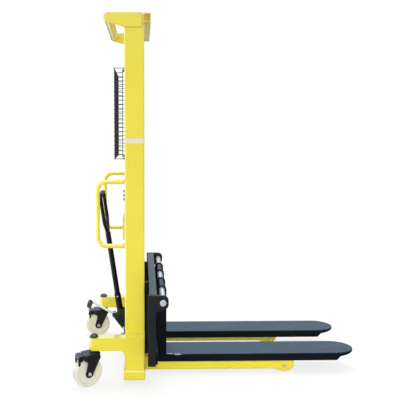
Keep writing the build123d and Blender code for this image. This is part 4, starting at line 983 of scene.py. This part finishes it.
# %% Weld beads
PROUD = 0.5
CORNER_IN = 2.0
CORNER_BACK = 1.5
FOOT_LOW, FOOT_TOP = 90, 271
ARM_LOW = 203
CHEEK_LOW, CHEEK_HIGH = 1999.5, 2026
CHEEK_FRONT = 101.5
BEAM_LOW, BEAM_HIGH = 2026.5, 2074
BEAM_IN = 228
BEAM_CORNER = 111
TIE_LOW, TIE_HIGH = 804.5, 925.5
TIE_OUT = 250.5
LEG_LOW, LEG_HIGH = 26, 110.5
LEG_IN, LEG_OUT = 156.5, 221.5
LOOP_Y = 264
LOOP_HEIGHTS = (772, 1140)
LOOP_RING = 12.8
CROSS_BARS = ({"low": 487, "high": 547, "front": 179}, {"low": 160, "high": 230, "front": 173})
BAR_REAR = 137
BAR_END = 440.6
GUIDE_X = 136.6
GUIDE_FACES = (204.6, 217.4)


def frame_seams(s):
    """Seams of one side of the yellow frame."""
    web, corner = s * (MAST_HALF + PROUD), s * (MAST_HALF - CORNER_IN)
    front, rear = MAST_DEEP + PROUD, -PROUD
    foot = [
        at(MAST_DEEP - CORNER_BACK, corner, FOOT_LOW),
        at(MAST_DEEP - CORNER_BACK, corner, FOOT_TOP),
        at(MAST_DEEP - MAST_EDGE, web, FOOT_TOP),
        at(MAST_EDGE, web, FOOT_TOP),
        at(CORNER_BACK, corner, FOOT_TOP),
        at(CORNER_BACK, corner, ARM_LOW),
    ]
    cheek = [
        at(CORNER_BACK, corner, CHEEK_LOW),
        at(MAST_EDGE, web, CHEEK_LOW),
        at(CHEEK_FRONT, web, CHEEK_LOW),
        at(CHEEK_FRONT, web, CHEEK_HIGH),
    ]
    beam = [
        at(front, s * BEAM_IN, BEAM_LOW),
        at(front, s * (MAST_HALF - MAST_EDGE), BEAM_LOW),
        at(BEAM_CORNER, corner, BEAM_LOW),
        at(BEAM_CORNER, corner, BEAM_HIGH),
    ]
    tie = [(FLANGE_IN, TIE_HIGH), (TIE_OUT, TIE_HIGH), (TIE_OUT, TIE_LOW), (FLANGE_IN, TIE_LOW)]
    tie = [at(rear, s * y, z) for y, z in tie]
    leg = [(LEG_IN, LEG_LOW), (LEG_IN, LEG_HIGH), (LEG_OUT, LEG_HIGH), (LEG_OUT, LEG_LOW)]
    leg = [at(front, s * y, z) for y, z in leg]
    loops = [ring_route(rear, s * LOOP_Y, z, LOOP_RING) for z in LOOP_HEIGHTS]
    return [foot, cheek, beam, tie, leg, *loops]


def carriage_seams(s):
    """Seams of one side of the black carriage."""
    found = []
    for bar in CROSS_BARS:
        low, high, front = bar["low"], bar["high"], bar["front"]
        bar_end = [(front, low), (BAR_REAR, low), (BAR_REAR, high), (front, high)]
        found.append([at(x, s * BAR_END, z) for x, z in bar_end])
        found += [[at(GUIDE_X, s * y, low), at(GUIDE_X, s * y, high)] for y in GUIDE_FACES]
    return found


for name, seams, finish, slot_name, body in (
    ("frame_welds", frame_seams, yellow, "yellow_paint", "chassis"),
    ("carriage_welds", carriage_seams, black, "black_paint", "carriage"),
):
    routes = seams(LEFT) + seams(RIGHT)
    beads = grow(name, bead_recipe(name + "_recipe", finish), lines(name + "_seams", routes), BEAD)
    piece(beads, finish, body)
    print(name, "seams:", len(routes), "faces:", len(beads.polygons))

# %% [markdown]
# A plain cream band is wrapped round the near channel. It is a thin strip that follows the channel's
# outside, so it is drawn as an outline that goes round just off the steel and comes back along it.

# %% Band on the mast
BAND_LOW, BAND_HIGH = 1358, 1388
BAND_T = 0.6
SKIN = 0.05


def round_the_mast(off):
    """The near channel's outside with its rounded corners, drawn off the steel by a little."""
    near_y = MAST_EDGE - MAST_HALF
    rear = arc(MAST_EDGE, near_y, MAST_EDGE + off, 180, 270)
    front = arc(MAST_DEEP - MAST_EDGE, near_y, MAST_EDGE + off, 270, 360)
    return [(-off, -FLANGE_IN), *rear, *front, (MAST_DEEP + off, -FLANGE_IN)]


band_outline = round_the_mast(BAND_T) + round_the_mast(SKIN)[::-1]
band = plate("mast_band", band_outline, BAND_LOW, BAND_HIGH)
piece(band, band_tape, "chassis", smooth=False)
print("band faces:", len(band.polygons))

# %% [markdown]
# The chain's two straight runs change length as the carriage climbs. Here the front run is a copy that
# rides on the carriage, and the rear run is a copy that stays in place. Inner plates along the whole rear
# run keep it closed when it is long.

# %% Chain runs and the rear run's inner plates
SQUARE = [(-1, -1), (1, -1), (1, 1), (-1, 1)]
CHAIN_TOP = 1084.6
REAR_X = -0.2
REAR_LOW = 962.0
PLATES_DEEP = 4.4
PLATES_WIDE = 5.3


def chain_run(name, node, body=None):
    """A copy of a chain run's mesh as a piece that stands for the solid."""
    mesh = frame["nodes"][node].data.copy()
    mesh.name = name
    return piece(mesh, oiled_chain, body, [node], smooth=None)


front = chain_run("chain_front", "lift_chain_front_run", "carriage")
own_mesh(front)
rear = chain_run("chain_rear", "lift_chain_rear_run")
outline = [(REAR_X + x * PLATES_DEEP, y * PLATES_WIDE) for x, y in SQUARE]
mesh = plate("chain_rear_inner_plates", outline, REAR_LOW, CHAIN_TOP)
plates = piece(mesh, oiled_chain, smooth=False)
for run in (rear, plates):
    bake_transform(run)

# %% [markdown]
# The stage is a plain pale floor. The camera sees it almost white, with a share of the real shading, so
# the wheels keep a soft shadow to stand on; that share fades out with distance, so no horizon shows.
# Light that bounces off it is held back, and mirror rays meet the dim ground of a hall, so that black
# paint stays black; only to the left does daylight from a gate lie on that ground.

# %% Floor
FLOOR_HALF = 9.0
FLOOR_DROP = 0.0004
PAPER = rgb(0.86, 0.86, 0.86)
BOUNCE = rgb(0.82, 0.82, 0.82)
WHITE = rgb(1, 1, 1)
SHADOW_SHARE = 0.24
SHADOW_REACH = (1.3, 3.5)
HALL = rgb(0.07, 0.073, 0.077)
DAYLIGHT = rgb(3.0, 3.0, 3.0)
DAYLIGHT_REACH = (-0.9, -1.5)

floor_mesh = bpy.data.meshes.new("floor")
floor_corners = [(x * FLOOR_HALF, y * FLOOR_HALF, -FLOOR_DROP) for x, y in SQUARE]
floor_mesh.from_pydata(floor_corners, [], [(0, 1, 2, 3)])
floor = bpy.data.objects.new("floor", floor_mesh)
bpy.context.scene.collection.objects.link(floor)
paper = bpy.data.materials.new("studio_paper")
paper.use_nodes = True
tree = paper.node_tree
tree.nodes.remove(tree.nodes["Principled BSDF"])
path = add(tree, "ShaderNodeLightPath").outputs
matt = add(tree, "ShaderNodeBsdfDiffuse", {"Color": PAPER}).outputs["BSDF"]
glow = add(tree, "ShaderNodeEmission", {"Color": WHITE}).outputs["Emission"]
place = add(tree, "ShaderNodeTexCoord").outputs["Object"]
distance = add(tree, "ShaderNodeVectorMath", {0: place}, operation="LENGTH").outputs["Value"]
white_share = remap(tree, distance, SHADOW_REACH, (1.0 - SHADOW_SHARE, 1.0))
shown = add(tree, "ShaderNodeMixShader", {0: white_share, 1: matt, 2: glow}).outputs["Shader"]
bounce = add(tree, "ShaderNodeBsdfDiffuse", {"Color": BOUNCE}).outputs["BSDF"]
across = add(tree, "ShaderNodeSeparateXYZ", {"Vector": place}).outputs["X"]
daylight = mix(tree, remap(tree, across, DAYLIGHT_REACH), HALL, DAYLIGHT)
ground = add(tree, "ShaderNodeEmission", {"Color": daylight}).outputs["Emission"]
sockets = {0: path["Is Glossy Ray"], 1: bounce, 2: ground}
unseen = add(tree, "ShaderNodeMixShader", sockets).outputs["Shader"]
paper_look = add(tree, "ShaderNodeMixShader", {0: path["Is Camera Ray"], 1: unseen, 2: shown})
tree.links.new(paper_look.outputs["Shader"], tree.nodes["Material Output"].inputs["Surface"])
floor_mesh.materials.append(paper)
print("floor side in m:", 2 * FLOOR_HALF)

# %% [markdown]
# In the photograph glossy paint does not mirror white paper: tops mirror a bluish sky, edges that turn to
# the left mirror something bright, undersides a pale floor far behind the machine, and sides a dark hall
# behind the camera. So the world is white for the camera, such a hall for mirror rays, and an even pale
# light for everything else. Each span is one axis of a ray's direction, from where a part begins to where
# it is full.

# %% World
SKY = rgb(1.45, 1.80, 2.20)
SKY_RISE = (0.10, 0.50)
GATE_TURN = (-0.25, -0.60)
FAR_FLOOR = rgb(0.36, 0.38, 0.46)
FAR_FLOOR_DIP = (0.0, -0.1)
FAR_FLOOR_TURN = (0.6, 0.9)
EVEN_LOW = rgb(0.80, 0.80, 0.80)
EVEN_HIGH = rgb(0.80, 0.81, 0.83)
EVEN_RISE = (-0.2, 0.9)

world = bpy.data.worlds.new("studio_world")
bpy.context.scene.world = world
world.use_nodes = True
tree = world.node_tree
away = add(tree, "ShaderNodeTexCoord").outputs["Generated"]
along = add(tree, "ShaderNodeSeparateXYZ", {"Vector": away}).outputs
hall = mix(tree, remap(tree, along["X"], GATE_TURN), HALL, DAYLIGHT)
behind = both(tree, remap(tree, along["Z"], FAR_FLOOR_DIP), remap(tree, along["Y"], FAR_FLOOR_TURN))
hall = mix(tree, behind, hall, FAR_FLOOR)
mirror = mix(tree, remap(tree, along["Z"], SKY_RISE), hall, SKY)
even = mix(tree, remap(tree, along["Z"], EVEN_RISE), EVEN_LOW, EVEN_HIGH)
path = add(tree, "ShaderNodeLightPath").outputs
lit = mix(tree, path["Is Glossy Ray"], even, mirror)
lit = mix(tree, path["Is Camera Ray"], lit, WHITE)
tree.links.new(lit, tree.nodes["Background"].inputs["Color"])
print("world nodes:", len(tree.nodes))

# %% [markdown]
# Five soft lamps shape the form: a wide one overhead brightens every top, one beside the camera fills the
# side that we look at, a narrow one reaches in among the legs and forks, and two weak ones between the
# machine's sides lift the far arm and the far leg. All but the first are kept out of mirror rays, or they
# would whiten the black paint.

# %% Lamps
COOL = (0.97, 0.99, 1.0)
WARM = (1.0, 0.985, 0.96)
GOLDEN = (1.0, 0.95, 0.8)


def lamp(name, place, aim, size, power, colour, in_mirrors=False, spread=180):
    """A soft rectangular lamp at a place, turned towards a point; spread in degrees narrows its beam."""
    data = bpy.data.lights.new(name, "AREA")
    data.shape = "RECTANGLE"
    data.size, data.size_y = size
    data.energy = power
    data.color = colour
    data.spread = math.radians(spread)
    thing = bpy.data.objects.new(name, data)
    bpy.context.scene.collection.objects.link(thing)
    thing.location = place
    thing.rotation_euler = (Vector(aim) - Vector(place)).to_track_quat("-Z", "Y").to_euler()
    thing.visible_camera = False
    thing.visible_glossy = in_mirrors
    return thing


lamp(
    "overhead", place=(0.1, 0.6, 6.5), aim=(0.0, 0.3, 0.0), size=(5.0, 3.5), power=245, colour=COOL,
    in_mirrors=True,
)
lamp("fill", place=(-1.4, -3.9, 0.8), aim=(-0.6, 0.0, 0.4), size=(4.0, 1.5), power=32, colour=WARM)
lamp(
    "leg_fill", place=(0.9, -3.0, 1.5), aim=(0.5, 0.1, 0.1), size=(1.6, 0.8), power=2.6, colour=WARM,
    spread=45,
)
lamp(
    "far_arm_fill", place=(-0.70, -0.10, 0.22), aim=(-0.70, 0.26, 0.18), size=(0.35, 0.30), power=0.22,
    colour=GOLDEN, spread=150,
)
lamp(
    "far_leg_fill", place=(0.05, -0.02, 0.045), aim=(0.05, 0.19, 0.045), size=(0.85, 0.04), power=0.06,
    colour=GOLDEN, spread=150,
)

# %% [markdown]
# The camera was found from the photograph's own perspective. It stands beside the mast, three metres off,
# and a lens shift slides the picture so that the forks fit on the right.

# %% Camera
LENS = 43.12
SENSOR = 36.0
SHIFT = (0.1224, -0.1053)
CAMERA_PLACE = (-0.4298, -2.9695, 1.4383)
CAMERA_DIP = 3.43
CAMERA_TURN = -0.934

camera_data = bpy.data.cameras.new("camera")
camera_data.lens = LENS
camera_data.sensor_width = SENSOR
camera_data.shift_x, camera_data.shift_y = SHIFT
camera = bpy.data.objects.new("camera", camera_data)
bpy.context.scene.collection.objects.link(camera)
camera.location = CAMERA_PLACE
camera.rotation_euler = (math.radians(90 - CAMERA_DIP), 0, math.radians(CAMERA_TURN))
bpy.context.scene.camera = camera
bpy.context.scene.view_settings.view_transform = "Standard"
print("camera:", [round(v, 3) for v in camera.location], "lens", LENS)
